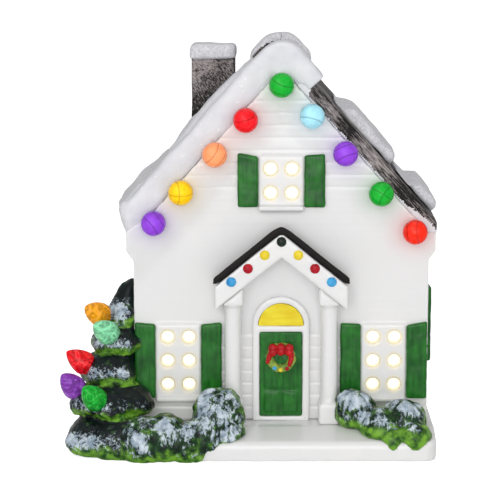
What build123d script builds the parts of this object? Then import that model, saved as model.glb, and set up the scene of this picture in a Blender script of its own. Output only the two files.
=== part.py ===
from build123d import *
import os
from math import cos, radians, sin, sqrt, tan

# Lit ceramic village house, in millimetres.
# X runs to the viewer's right, Y runs to the back and Z runs up.
# The origin is on the table, midway across the walls and midway between the gables.

# Walls
wall_width = 133.0
wall_depth = 92.0
wall_thick = 4.0
board_pitch = 5.6
groove_depth = 0.5
groove_height = 0.9

# Ground slab that the walls stand on
slab_height = 12.0
slab_front_height = 8.5
slab_front_reach = 30.0
slab_side_reach = 2.5
slab_back_reach = 3.0
slab_corner_radius = 6.0
slab_edge_radius = 3.0
slab_ledge = 2.5

# Roof
gable_rise = 49.0
roof_pitch = 48.3
roof_thick = 6.4
roof_overhang = 1.6
eave_reach = 3.5
ridge_radius = 6.0

# Snow on the roof
snow_top_radius = 4.0
snow_plan_radius = 5.0
rake_snow_front = 2.4
rake_snow_back = 11.0
rake_snow_drop = 4.0
rake_snow_thick = 5.5
rake_snow_radius = 2.2
rake_snow_right_length = 23.0
rake_snow_left_eave = 4.0
snow_peak_radius = 12.0
ridge_snow_width = 20.0
ridge_snow_start = 17.0
ridge_snow_length = 24.0
ridge_snow_thick = 6.9
ridge_snow_bed = 4.0
right_patch_length = 38.0
right_patch_gap = 3.5
right_patch_tail = 24.0
right_patch_eave = 3.2
right_patch_thick = 5.6
left_patch_length = 31.0
left_patch_eave = 1.0
left_patch_thick = 8.0
left_patch_setback = 5.5
patch_setback = 12.0
patch_depth = 50.0

# Chimney
chimney_width = 20.0
chimney_depth = 18.0
chimney_drop = 9.0
chimney_place = -31.0
chimney_back = 6.0
chimney_snow_height = 6.5
chimney_snow_lip = 0.8
chimney_snow_radius = 2.6

# Windows: two columns of round holes pierced through a raised panel
pane_pitch_across = 9.6
pane_pitch_up = 10.9
pane_hole = 5.6
panel_margin = 0.8
panel_proud = 1.0
sill_height = 2.2
sill_proud = 2.4
lower_window_rise = 10.8
lower_window_rows = 3
upper_window_clear = 3.2
upper_window_rows = 2
side_window_rise = 25.8
right_window_inset = 28.4
left_window_inset = 30.0
film_thick = 0.8
film_margin = 1.5

# Shutters
shutter_clear = 0.3
shutter_thick = 2.2
shutter_extra = 1.2
shutter_gap = 0.3
shutter_radius = 0.8

# Porch hood
hood_clear = 8.5
hood_pitch = 39.0
hood_half = 31.0
hood_reach = 13.0
hood_roof_thick = 4.0
hood_roof_lip = 0.8
hood_band = 8.5
hood_end_inset = 1.2
bead_radius = 2.4
bead_drop = 2.9
bead_pitch = 9.6
beads_per_side = 3
bead_proud = 1.4

# Porch columns
column_spread = 21.7
column_width = 7.6
column_reach = 10.0
column_block_width = 9.6
column_block_reach = 11.2
column_base_height = 10.0
column_cap_height = 5.0

# Front door, its casing and its fanlight
door_half = 9.6
door_height = 39.0
door_thick = 1.6
door_fit = 0.15
threshold_height = 2.0
casing_width = 3.2
casing_thick = 2.6
transom_height = 2.8
fanlight_radius = 10.3
fanlight_thick = 1.4
door_panel_width = 6.2
door_panel_low_height = 9.0
door_panel_high_height = 14.0
door_panel_proud = 0.5
door_panel_gap = 2.2
wreath_drop = 11.6
wreath_radius = 5.0
wreath_thick = 1.8
bow_width = 11.0
bow_height = 4.2
bow_thick = 2.2
bow_rise = 4.2
bow_tilt = 14.0
bow_tail_length = 8.0
bow_tail_width = 2.4

# Globe lights under the front roof edge
globe_radius = 5.6
globe_clear = 3.9
neck_radius = 3.2
neck_reach = 0.3
peg_radius = 2.2
peg_inside = 3.0
peg_fit = 0.1
globe_corner_inset = 8.7
globe_shifts_left = (1.6, 0.5, 1.6, -1.7)
globe_shifts_right = (-1.3, -0.7, 1.7, 3.0)
globe_lift_left = 0.6
globe_peak_drop = 1.4

# Tree at the left front corner: stacked tiers that lean to the house
tree_foot_left = 13.0
tree_foot_front = 9.0
tree_lean_right = 0.13
tree_lean_back = 0.30
tier_radii = (20.5, 19.5, 15.5, 12.5, 10.0)
tier_pitch = 13.8
tier_height = 17.0
tier_taper = 6.0
tier_lip_radius = 2.4
tree_bore_share = 0.3
tree_floor = 4.0
bore_lap = 1.0
tree_port_radius = 2.5
tree_port_tier = 3
tree_port_rise = 6.6
tree_port_back = 6.5

# Flame lights on the tree
flame_radius = 5.4
flame_length = 15.5
flame_waist = 5.2
flame_foot_radius = 4.0
flame_foot_height = 1.5
flame_seat_depth = 2.6
flame_seat_room = 0.4
flame_shoulder = 3.6
flame_shoulder_height = 11.2
flame_peg_length = 5.0
flame_tiers = {"amber": 4, "mint": 3, "red": 2, "purple": 1, "green": 1}
flame_rises = (2.6, 9.4, 8.9, 11.5, 8.7)
flame_seat_angles = (195.0, 263.0, 206.0, 190.0, 260.0)
flame_aim_angles = (226.0, 229.0, 200.0, 224.0, 227.0)
flame_tilt_angles = (27.0, 31.0, 36.0, 45.0, 44.0)

# Shrubs: clumps given as inset from the wall corner, distance before the wall, height over the slab, radius
hedge_clumps = (
    (5.5, 23.0, -5.0, 12.0),
    (14.5, 22.0, -4.0, 12.0),
    (25.0, 23.0, -6.0, 11.0),
    (33.5, 21.0, -2.5, 10.5),
    (38.5, 15.0, 6.0, 12.0),
    (41.5, 21.0, -2.0, 9.0),
)
bush_clumps = (
    (33.5, 10.5, 7.0, 9.5),
    (21.5, 17.0, -0.5, 10.5),
    (11.5, 14.0, 2.5, 10.4),
    (7.0, 23.5, -3.0, 7.8),
    (17.0, 23.0, -4.5, 7.5),
)

# Plate that closes the bottom, with the battery tray on it
plate_recess = 1.7
plate_thick = 2.4
rebate_width = 2.8
rebate_corner = 5.0
seal_width = 1.2
tray_wall = 1.8
tray_shift = -14.0
door_gap = 0.4
hatch_thick = 1.8
hinge_radius = 1.5
hinge_pin_radius = 0.6
hinge_pin_fit = 0.05
hinge_pin_hold = 4.0
grip_rib_count = 4
grip_rib_pitch = 1.6
grip_rib_width = 0.8
grip_rib_depth = 0.4
grip_length = 14.0
grip_margin = 4.0
latch_width = 9.0
latch_thick = 1.2
latch_rise = 2.4
latch_gap = 0.3

# Battery cells and their contacts
cell_diameter = 14.5
cell_length = 49.5
cell_nub_radius = 2.7
cell_nub_length = 1.0
cell_count = 3
cell_gap = 0.5
contact_room = 2.6
contact_thick = 0.4
contact_size = 10.0
contact_spring_size = 7.0
tab_width = 3.0
tab_reach = 2.5
tab_fit = 0.2

# Light board
post_height = 3.0
post_radius = 2.2
board_length = 36.0
board_width = 12.0
board_thick = 1.2
board_hole_margin = 3.0
board_hole_fit = 0.1
screw_radius = 0.75
screw_fit = 0.05
screw_depth = 2.4
screw_head_radius = 1.7
screw_head_height = 1.1
led_radius = 2.5
led_flange_radius = 2.9
led_flange_height = 1.0
led_straight = 3.0
led_pitch = 7.5
led_count = 3

# Slide switch
switch_clear = 11.85
switch_length = 13.0
switch_width = 6.5
switch_height = 5.5
switch_roof = 1.5
switch_travel = 4.0
switch_gap = 0.3
knob_length = 3.2
knob_width = 2.8
knob_recess = 0.5
carriage_length = 5.0
carriage_width = 3.9
carriage_height = 2.6

# Leads
lead_radius = 0.65
lead_bend = 3.0
lead_arch = 8.0
lead_stand_off = 6.0

# Values that follow from the sizes above
wall_half = wall_width / 2
front = -wall_depth / 2
back = wall_depth / 2
inner_half = wall_half - wall_thick
inner_front = front + wall_thick
inner_back = back - wall_thick
wall_drill = 4 * wall_thick
slab_half = wall_half + slab_side_reach
slab_front = front - slab_front_reach
slab_back = back + slab_back_reach
panel_half = pane_pitch_across + panel_margin / 2
lower_window_height = lower_window_rows * pane_pitch_up + panel_margin
upper_window_height = upper_window_rows * pane_pitch_up + panel_margin
lower_window_base = slab_height + lower_window_rise
side_window_base = slab_height + side_window_rise
column_edge = column_spread + column_block_width / 2
window_spread = (wall_half + column_edge) / 2
shutter_width = (wall_half - column_edge) / 2 - shutter_clear - panel_half - shutter_gap
hood_rise = tan(radians(hood_pitch))
hood_roof_drop = hood_roof_thick / cos(radians(hood_pitch))
hood_band_drop = hood_band / cos(radians(hood_pitch))
hood_front = front - hood_reach
hood_band_half = hood_half - hood_end_inset
hood_foot = lower_window_base + lower_window_height + hood_clear
hood_peak = hood_foot + hood_band_half * hood_rise + hood_band_drop + hood_roof_drop
upper_window_base = hood_peak + upper_window_clear + sill_height
roof_rise = tan(radians(roof_pitch))
roof_drop = roof_thick / cos(radians(roof_pitch))
ridge_height = upper_window_base + upper_window_height + gable_rise
eave_half = wall_half + eave_reach
roof_front = front - roof_overhang
roof_back = back + roof_overhang
slope_length = eave_half / cos(radians(roof_pitch))
chimney_top = ridge_height - chimney_drop
globe_inset = roof_thick + globe_clear
neck_height = roof_overhang + neck_reach
door_base = slab_height + threshold_height
door_top = door_base + door_height
fanlight_base = door_top + transom_height
casing_half = door_half + casing_width
casing_spring = fanlight_base + fanlight_radius + casing_width - casing_half
plate_top = plate_recess + plate_thick
opening_half = inner_half - slab_ledge
opening_front = inner_front + slab_ledge
opening_back = inner_back - slab_ledge
plate_half = opening_half + rebate_width - seal_width
cell_full = cell_length + cell_nub_length
tray_half = cell_full / 2 + contact_room
tray_side = (cell_count * cell_diameter + (cell_count + 1) * cell_gap) / 2
cell_height = plate_recess + hatch_thick + cell_gap / 2 + cell_diameter / 2
tray_ceiling = cell_height + cell_diameter / 2 + cell_gap
tray_top = tray_ceiling + tray_wall
board_base = tray_top + post_height
board_top = board_base + board_thick
hinge_y = -tray_side + door_gap + hinge_radius
hinge_z = plate_recess + hinge_radius
tab_end = tray_shift + tray_half + tray_wall + tab_reach
lead_turn = tab_end + lead_stand_off
switch_place = lead_turn + switch_clear


def block(x_low, x_high, y_low, y_high, z_low, z_high):
    """A box given by its limits."""
    middle = Pos((x_low + x_high) / 2, (y_low + y_high) / 2, (z_low + z_high) / 2)
    return middle * Box(x_high - x_low, y_high - y_low, z_high - z_low)


def front_prism(points, y_front, y_back):
    """An outline seen from the front, drawn out from y_front to y_back."""
    face = make_face(Plane.XZ * Polyline(*points, close=True))
    return Pos(0, y_back, 0) * extrude(face, amount=y_back - y_front, dir=(0, -1, 0))


def gable_prism(half, foot, peak, rise, y_front, y_back):
    """The solid under a pitched line, down to a flat foot."""
    edge = peak - half * rise
    points = [(-half, foot), (half, foot), (half, edge), (0, peak), (-half, edge)]
    return front_prism(points, y_front, y_back)


def chevron(half, peak, rise, drop, y_front, y_back):
    """A folded slab with a ridge, plumb-cut ends and an even thickness."""
    edge = peak - half * rise
    upper = [(-half, edge), (0, peak), (half, edge)]
    lower = [(half, edge - drop), (0, peak - drop), (-half, edge - drop)]
    return front_prism(upper + lower, y_front, y_back)


def turned(points, crown):
    """A solid of revolution about Z: radius and height points, then a crown that ends on the axis."""
    outline = Polyline(*points) + crown + Line(crown @ 1, points[0])
    return revolve(make_face(Plane.XZ * outline), Axis.Z)


def slope_place(side):
    """The frame of one roof slope: X runs down it on the right, Z stands off it."""
    return Pos(0, 0, ridge_height) * Rot(0, side * roof_pitch, 0)


# Ground slab


def rounded_plate(half, y_low, y_high, z_low, z_high, radius):
    """An upright plate with rounded corners."""
    outline = RectangleRounded(2 * half, y_high - y_low, radius)
    return Pos(0, (y_low + y_high) / 2, z_low) * extrude(outline, amount=z_high - z_low)


def make_slab_block():
    """The slab's outside: a flat floor, then an apron that falls to a rounded front edge."""
    profile = Polyline(
        (slab_back, 0),
        (slab_front, 0),
        (slab_front, slab_front_height),
        (hood_front, slab_height),
        (slab_back, slab_height),
        close=True,
    )
    face = make_face(Plane.YZ * profile)
    prism = Pos(-slab_half, 0, 0) * extrude(face, amount=2 * slab_half, dir=(1, 0, 0))
    nose = prism.edges().filter_by(Axis.X).group_by(Axis.Y)[0].sort_by(Axis.Z)[-1]
    prism = fillet(nose, slab_edge_radius)
    outline = rounded_plate(slab_half, slab_front, slab_back, 0, slab_height, slab_corner_radius)
    return prism & outline


def make_snow_base():
    """The slab, open under the house, with a rebate below for the closing plate."""
    mouth = rounded_plate(
        opening_half, opening_front, opening_back, 0, slab_height, rebate_corner - rebate_width / 2
    )
    rebate = rounded_plate(
        opening_half + rebate_width,
        opening_front - rebate_width,
        opening_back + rebate_width,
        0,
        plate_top,
        rebate_corner,
    )
    return make_slab_block() - mouth - rebate


# Walls and windows


def front_window(across, base):
    return Plane(origin=(across, front, base), x_dir=(1, 0, 0), z_dir=(0, -1, 0))


def side_window(side, across, base):
    place = (side * wall_half, across, base)
    return Plane(origin=place, x_dir=(0, side, 0), z_dir=(side, 0, 0))


# Each window: its frame on the wall's outer face, and its rows of panes
windows = {
    "upper": (front_window(0, upper_window_base), upper_window_rows),
    "lower_left": (front_window(-window_spread, lower_window_base), lower_window_rows),
    "lower_right": (front_window(window_spread, lower_window_base), lower_window_rows),
    "right_side": (side_window(1, front + right_window_inset, side_window_base), lower_window_rows),
    "left_side": (side_window(-1, back - left_window_inset, side_window_base), lower_window_rows),
}


def panel_height(rows):
    return rows * pane_pitch_up + panel_margin


def make_window_relief(plane, rows):
    """The raised panel and its sill, rooted in the wall."""
    root = -wall_thick / 2
    panel = block(-panel_half, panel_half, 0, panel_height(rows), root, panel_proud)
    sill = block(-panel_half, panel_half, -sill_height, 0, root, sill_proud)
    return plane.location * (panel + sill)


def make_pane_holes(plane, rows):
    holes = []
    for row in range(rows):
        for side in (-1, 1):
            across = side * pane_pitch_across / 2
            up = panel_margin / 2 + (row + 0.5) * pane_pitch_up
            drill = Cylinder(pane_hole / 2, wall_drill)
            holes.append(plane.location * Pos(across, up, 0) * drill)
    return holes


def make_board_grooves():
    """The shadow line under each clapboard, run right round the walls."""
    grooves = []
    level = slab_height + board_pitch
    top = ridge_height - roof_drop
    while level < top:
        ring = block(-wall_half, wall_half, front, back, level, level + groove_height)
        ring -= block(
            -wall_half + groove_depth,
            wall_half - groove_depth,
            front + groove_depth,
            back - groove_depth,
            level,
            level + groove_height,
        )
        grooves.append(ring)
        level += board_pitch
    return grooves


def globe_seats():
    """Each globe's name and its place across and up on the front wall."""
    lean = radians(roof_pitch)
    peak = ridge_height - globe_inset / cos(lean)
    reach = (wall_half - globe_corner_inset) / cos(lean)
    seats = {"globe_peak": (0, peak - globe_peak_drop)}
    rows = ((-1, "left", globe_shifts_left, globe_lift_left), (1, "right", globe_shifts_right, 0))
    for side, word, shifts, lift in rows:
        for number, shift in enumerate(shifts, 1):
            run = reach * number / len(shifts) + shift
            across = run * cos(lean) + lift * sin(lean)
            up = peak - run * sin(lean) + lift * cos(lean)
            seats[f"globe_{word}_{number}"] = (side * across, up)
    return seats


def make_tree_port(x_low, x_high):
    """The hole that lets light from the house into the hollow tree."""
    length = x_high - x_low
    height = tree_port_tier * tier_pitch + tree_port_rise
    drill = Rot(0, 90, 0) * Cylinder(tree_port_radius, length)
    return Pos((x_low + x_high) / 2, front + tree_port_back, height) * drill


def make_house_walls_block():
    """The room that the walls stand in, for cutting what leans on them."""
    return block(-wall_half, wall_half, front, back, slab_height, ridge_height)


def make_house_walls():
    """The hollow body: two gables and two side walls, with clapboards and pierced windows."""
    body = gable_prism(wall_half, slab_height, ridge_height - roof_drop, roof_rise, front, back)
    body -= block(-inner_half, inner_half, inner_front, inner_back, 0, ridge_height)
    body -= make_board_grooves()
    holes = []
    for plane, rows in windows.values():
        body += make_window_relief(plane, rows)
        holes += make_pane_holes(plane, rows)
    for across, up in globe_seats().values():
        drill = Rot(90, 0, 0) * Cylinder(peg_radius + peg_fit, wall_drill)
        holes.append(Pos(across, front, up) * drill)
    holes.append(make_tree_port(-wall_half - wall_thick, -inner_half + wall_thick))
    return body - holes


def make_window_films():
    """Frosted sheets glued inside behind the pierced panes."""
    films = []
    for plane, rows in windows.values():
        half = (pane_pitch_across + pane_hole) / 2 + film_margin
        low = (panel_margin + pane_pitch_up - pane_hole) / 2 - film_margin
        high = panel_height(rows) - low
        sheet = block(-half, half, low, high, -wall_thick - film_thick, -wall_thick)
        films.append(plane.location * sheet)
    return Compound(children=films)


def make_shutter(plane, rows, side):
    """One hand-cut shutter beside a window, with softened edges."""
    inner = panel_half + shutter_gap
    low = -shutter_extra / 2
    high = panel_height(rows) + shutter_extra / 2
    leaf = block(inner, inner + shutter_width, low, high, 0, shutter_thick)
    leaf = fillet(leaf.edges().filter_by(Axis.Z), shutter_radius)
    leaf = fillet(leaf.faces().sort_by(Axis.Z)[-1].edges(), shutter_radius)
    if side < 0:
        leaf = mirror(leaf, Plane.YZ)
    return plane.location * leaf


# Roof, snow and chimney


def make_roof():
    """Both slopes in one casting, with a soft ridge."""
    roof = chevron(eave_half, ridge_height, roof_rise, roof_drop, roof_front, roof_back)
    ridge = roof.edges().filter_by(Axis.Y).sort_by(Axis.Z)[-1]
    return fillet(ridge, ridge_radius)


def rounded_gable(peak):
    """The space under a pitched line whose peak is rounded off."""
    space = gable_prism(2 * eave_half, -ridge_height, peak, roof_rise, 2 * slab_front, slab_back)
    ridge = space.edges().filter_by(Axis.Y).sort_by(Axis.Z)[-1]
    return fillet(ridge, snow_peak_radius)


def make_snow_mound(side, start, length, thick, y_low, y_high):
    """A soft-edged bank lying on one slope, from start to start plus length down it."""
    x_limits = sorted((side * start, side * (start + length)))
    bank = block(*x_limits, y_low, y_high, 0, thick)
    bank = fillet(bank.edges().filter_by(Axis.Z), snow_plan_radius)
    bank = fillet(bank.faces().sort_by(Axis.Z)[-1].edges(), snow_top_radius)
    return slope_place(side) * bank


def make_rake_snow(side, length):
    """The roll of snow over a front roof edge, rounded off at the peak."""
    x_limits = sorted((-side * (roof_thick + rake_snow_thick), side * length))
    y_low = roof_front - rake_snow_front
    roll = block(*x_limits, y_low, roof_front + rake_snow_back, -rake_snow_drop, rake_snow_thick)
    near = roll.faces().sort_by(Axis.Y)[0].edges().filter_by(Axis.X)
    far = roll.faces().sort_by(Axis.Y)[-1].edges().filter_by(Axis.X).sort_by(Axis.Z)[-1]
    roll = fillet(near + [far], rake_snow_radius)
    roll = slope_place(side) * roll
    half_space = sorted((0, side * 2 * wall_width))
    roll = roll & block(*half_space, 2 * slab_front, slab_back, 0, 2 * ridge_height)
    return roll & rounded_gable(ridge_height + rake_snow_thick / cos(radians(roof_pitch)))


def make_ridge_snow():
    """The bank on the ridge behind the front roof edge, bedded down on the soft ridge."""
    y_low = roof_front + ridge_snow_start
    y_high = y_low + ridge_snow_length
    rise = ridge_snow_thick / cos(radians(roof_pitch))
    half = ridge_snow_width * cos(radians(roof_pitch))
    bank = chevron(half, ridge_height + rise, roof_rise, rise + ridge_snow_bed, y_low, y_high)
    return bank & rounded_gable(ridge_height + rise)


def make_roof_snow():
    """Every bank of snow on the roof, laid on the slopes and clear of the chimney."""
    bank_front = roof_front + patch_setback
    bank_back = bank_front + patch_depth
    second_patch = slope_length - right_patch_eave - right_patch_tail
    first_patch = second_patch - right_patch_gap - right_patch_length
    left_patch = slope_length - left_patch_eave - left_patch_length
    left_front = roof_front + left_patch_setback
    snow = make_rake_snow(-1, slope_length - rake_snow_left_eave)
    snow += make_rake_snow(1, rake_snow_right_length)
    snow += make_ridge_snow()
    snow += make_snow_mound(1, first_patch, right_patch_length, right_patch_thick, bank_front, bank_back)
    snow += make_snow_mound(1, second_patch, right_patch_tail, right_patch_thick, bank_front, bank_back)
    snow += make_snow_mound(-1, left_patch, left_patch_length, left_patch_thick, left_front, bank_back)
    return snow - make_roof() - make_chimney_block()


def make_chimney_block():
    half = chimney_width / 2
    deep = chimney_depth / 2
    left = chimney_place - half
    right = chimney_place + half
    return block(left, right, chimney_back - deep, chimney_back + deep, slab_height, chimney_top)


def make_chimney():
    """The stack, cut to stand on the left slope."""
    below = gable_prism(2 * eave_half, -ridge_height, ridge_height, roof_rise, roof_front, roof_back)
    return make_chimney_block() - below


def make_chimney_snow():
    """The rounded cap of snow on the stack."""
    half = chimney_width / 2 + chimney_snow_lip
    deep = chimney_depth / 2 + chimney_snow_lip
    left = chimney_place - half
    right = chimney_place + half
    top = chimney_top + chimney_snow_height
    cap = block(left, right, chimney_back - deep, chimney_back + deep, chimney_top, top)
    cap = fillet(cap.edges().filter_by(Axis.Z), chimney_snow_radius)
    return fillet(cap.faces().sort_by(Axis.Z)[-1].edges(), chimney_snow_radius)


# Porch


def make_hood_roof():
    return chevron(
        hood_half, hood_peak, hood_rise, hood_roof_drop, hood_front - hood_roof_lip, front
    )


def make_hood_gable():
    return chevron(
        hood_band_half,
        hood_peak - hood_roof_drop,
        hood_rise,
        hood_band_drop,
        hood_front,
        front,
    )


def make_hood_bead(number):
    """One raised dot on the hood's front, counted from the peak and signed by its side."""
    lean = radians(hood_pitch)
    peak = hood_peak - hood_roof_drop - bead_drop / cos(lean)
    run = abs(number) * bead_pitch
    side = (number > 0) - (number < 0)
    across = side * run * cos(lean)
    up = peak - run * sin(lean)
    ball = (bead_radius**2 + bead_proud**2) / (2 * bead_proud)
    middle = (bead_radius / 2, bead_proud - ball + sqrt(ball**2 - bead_radius**2 / 4))
    crown = ThreePointArc((bead_radius, 0), middle, (0, bead_proud))
    dot = turned([(0, 0), (bead_radius, 0)], crown)
    return Pos(across, hood_front, up) * Rot(90, 0, 0) * dot


def make_hood_beads():
    numbers = range(-beads_per_side, beads_per_side + 1)
    return Compound(children=[make_hood_bead(number) for number in numbers])


def make_column(side):
    """An engaged porch column with a block at its foot and at its head."""
    across = side * column_spread
    half = column_width / 2
    block_half = column_block_width / 2
    block_front = front - column_block_reach
    head = hood_peak - hood_roof_drop - hood_band_drop - column_spread * hood_rise
    nose = front - column_reach + half
    shaft = block(across - half, across + half, nose, front, slab_height, hood_peak)
    shaft += Pos(across, nose, (slab_height + hood_peak) / 2) * Cylinder(half, hood_peak - slab_height)
    foot = slab_height + column_base_height
    base = block(across - block_half, across + block_half, block_front, front, slab_height, foot)
    cap = block(
        across - block_half, across + block_half, block_front, front, head - column_cap_height, hood_peak
    )
    peak = hood_peak - hood_roof_drop - hood_band_drop
    below_hood = gable_prism(hood_half, slab_height, peak, hood_rise, slab_front, front)
    return (shaft + base + cap) & below_hood


def arch_prism(half, foot, spring, y_front):
    """A round-headed panel standing on the front wall."""
    outline = Polyline((-half, spring), (-half, foot), (half, foot), (half, spring))
    outline += ThreePointArc((half, spring), (0, spring + half), (-half, spring))
    face = make_face(Plane.XZ * outline)
    return Pos(0, front, 0) * extrude(face, amount=front - y_front, dir=(0, -1, 0))


def half_round_prism(radius, base, y_front):
    """A half disc standing on the front wall."""
    outline = Line((-radius, base), (radius, base))
    outline += ThreePointArc((radius, base), (0, base + radius), (-radius, base))
    face = make_face(Plane.XZ * outline)
    return Pos(0, front, 0) * extrude(face, amount=front - y_front, dir=(0, -1, 0))


def make_door_casing():
    """The moulding round the door and its fanlight."""
    casing = arch_prism(casing_half, slab_height, casing_spring, front - casing_thick)
    half = door_half + door_fit
    casing -= block(-half, half, front - casing_thick, front, door_base, door_top + door_fit)
    return casing - half_round_prism(fanlight_radius + door_fit, fanlight_base, front - casing_thick)


def make_fanlight():
    return half_round_prism(fanlight_radius, fanlight_base, front - fanlight_thick)


def make_front_door():
    """The door leaf with four raised panels."""
    door_front = front - door_thick
    door = block(-door_half, door_half, door_front, front, door_base, door_top)
    low = door_base + door_panel_gap
    high = low + door_panel_low_height + door_panel_gap
    for side in (-1, 1):
        x_limits = sorted((side * door_panel_gap / 2, side * (door_panel_gap / 2 + door_panel_width)))
        for foot, height in ((low, door_panel_low_height), (high, door_panel_high_height)):
            panel_front = door_front - door_panel_proud
            door += block(*x_limits, panel_front, door_front, foot, foot + height)
    return door


def make_door_wreath():
    """A ring pressed flat against the door."""
    ring = Torus(wreath_radius, wreath_thick)
    place = Pos(0, front - door_thick - wreath_thick / 2, door_top - wreath_drop)
    return place * Rot(90, 0, 0) * ring - make_front_door() - make_house_walls_block()


def make_wreath_bow():
    """Two loops, a knot and two tails on the top of the wreath."""
    y_back = front - door_thick - wreath_thick
    y_front = y_back - bow_thick
    up = door_top - wreath_drop + bow_rise
    knot = block(-bow_height / 3, bow_height / 3, y_front, y_back, up - bow_height / 2, up + bow_height / 2)
    bow = knot
    for side in (-1, 1):
        loop = block(0, bow_width / 2, y_front, y_back, -bow_height / 2, bow_height / 2)
        bow += Pos(0, 0, up) * Rot(0, 90 - side * 90, 0) * Rot(0, -side * bow_tilt, 0) * loop
        tail = block(-bow_tail_width / 2, bow_tail_width / 2, y_front, y_back, -bow_tail_length, 0)
        bow += Pos(0, 0, up) * Rot(0, side * 2 * bow_tilt, 0) * tail
    return bow - make_door_wreath() - make_front_door()


# Lights


def make_globe():
    """A moulded globe on a short neck, with the peg that goes through the wall."""
    middle = neck_height + sqrt(globe_radius**2 - neck_radius**2)
    low = -wall_thick - peg_inside
    points = [(0, low), (peg_radius, low), (peg_radius, 0), (neck_radius, 0), (neck_radius, neck_height)]
    crown = ThreePointArc(points[-1], (globe_radius, middle), (0, middle + globe_radius))
    return turned(points, crown)


def make_globe_light(across, up):
    return Pos(across, front, up) * Rot(90, 0, 0) * make_globe()


def make_flame():
    """A pointed tree light on its flat foot, with its peg."""
    points = [
        (0, -flame_peg_length),
        (peg_radius, -flame_peg_length),
        (peg_radius, 0),
        (flame_foot_radius, 0),
        (flame_foot_radius, flame_foot_height),
        (flame_radius, flame_waist),
    ]
    shoulder = (flame_shoulder, flame_shoulder_height)
    crown = Spline(points[-1], shoulder, (0, flame_length), tangents=((0, 1), (-1, 0)))
    return turned(points, crown)


def flame_plane(number, tier):
    """The seat of one tree light, set into its tier."""
    rise = flame_rises[number]
    reach = tier_radii[tier] - tier_taper * rise / tier_height - flame_seat_depth
    centre = tier_centre(tier)
    turn = radians(flame_seat_angles[number])
    seat = (centre[0] + reach * cos(turn), centre[1] + reach * sin(turn), centre[2] + rise)
    aim = radians(flame_aim_angles[number])
    tilt = radians(flame_tilt_angles[number])
    way = (cos(tilt) * cos(aim), cos(tilt) * sin(aim), sin(tilt))
    return Plane(origin=seat, z_dir=way)


# Tree and shrubs


def tier_centre(tier):
    level = tier * tier_pitch
    across = -wall_half - tree_foot_left + tree_lean_right * level
    deep = front - tree_foot_front + tree_lean_back * level
    return across, deep, level


def make_tree_seats():
    """What is bored out of the tree for the lights: a flat seat and a peg hole each."""
    room = flame_radius + flame_seat_room
    hole = peg_radius + peg_fit
    cuts = []
    for number, tier in enumerate(flame_tiers.values()):
        place = flame_plane(number, tier).location
        cuts.append(place * Pos(0, 0, flame_length / 2) * Cylinder(room, flame_length))
        cuts.append(place * Pos(0, 0, -flame_peg_length / 2) * Cylinder(hole, 2 * flame_peg_length))
    return cuts


def make_christmas_tree():
    """Lipped tiers round a bore that opens into the house, cut to stand against its corner."""
    tree = Part()
    bores = []
    for tier, radius in enumerate(tier_radii):
        centre = tier_centre(tier)
        cone = Cone(
            radius, radius - tier_taper, tier_height, align=(Align.CENTER, Align.CENTER, Align.MIN)
        )
        cone = fillet(cone.edges().group_by(Axis.Z)[0], tier_lip_radius)
        tree += Pos(*centre) * cone
        bore_low = tree_floor if tier == 0 else 0
        bore_high = tier_pitch + bore_lap
        if tier == len(tier_radii) - 1:
            bore_high = tier_height - tree_floor
        bore = Cylinder(
            tree_bore_share * radius,
            bore_high - bore_low,
            align=(Align.CENTER, Align.CENTER, Align.MIN),
        )
        bores.append(Pos(centre[0], centre[1], centre[2] + bore_low) * bore)
    top = tier_centre(len(tier_radii) - 1)
    tip_radius = tier_radii[-1] - tier_taper
    tree += Pos(top[0], top[1], top[2] + tier_height) * Sphere(tip_radius)
    bores.append(make_tree_port(tier_centre(tree_port_tier)[0], -inner_half))
    tree -= bores
    tree -= [make_house_walls_block(), make_slab_block()]
    plane, rows = windows["lower_left"]
    tree -= make_shutter(plane, rows, -1)
    return tree - make_tree_seats()


def make_clumps(clumps, side):
    """Round clumps grown into one another before one corner of the walls, cut flat on the table."""
    shrub = Part()
    for inset, out, up, radius in clumps:
        across = side * (wall_half - inset)
        shrub += Pos(across, front - out, slab_height + up) * Sphere(radius)
    table = block(-2 * wall_width, 2 * wall_width, 2 * slab_front, back, 0, ridge_height)
    return shrub & table


def make_left_hedge(neighbours):
    return make_clumps(hedge_clumps, -1) - neighbours


def make_right_bush(neighbours):
    return make_clumps(bush_clumps, 1) - neighbours


# Closing plate and battery hatch


def cell_places():
    """The place across the tray of each cell."""
    pitch = cell_diameter + cell_gap
    return [(number - (cell_count - 1) / 2) * pitch for number in range(cell_count)]


def switch_slot():
    """The slot under the switch knob, as long as its travel needs."""
    low = switch_place - knob_length / 2 - switch_gap
    high = switch_place + knob_length / 2 + switch_travel + switch_gap
    half = knob_width / 2 + switch_gap
    return block(low, high, -half, half, plate_recess, plate_top)


def board_hole_places():
    reach = board_length / 2 - board_hole_margin
    return [tray_shift - reach, tray_shift + reach]


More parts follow.
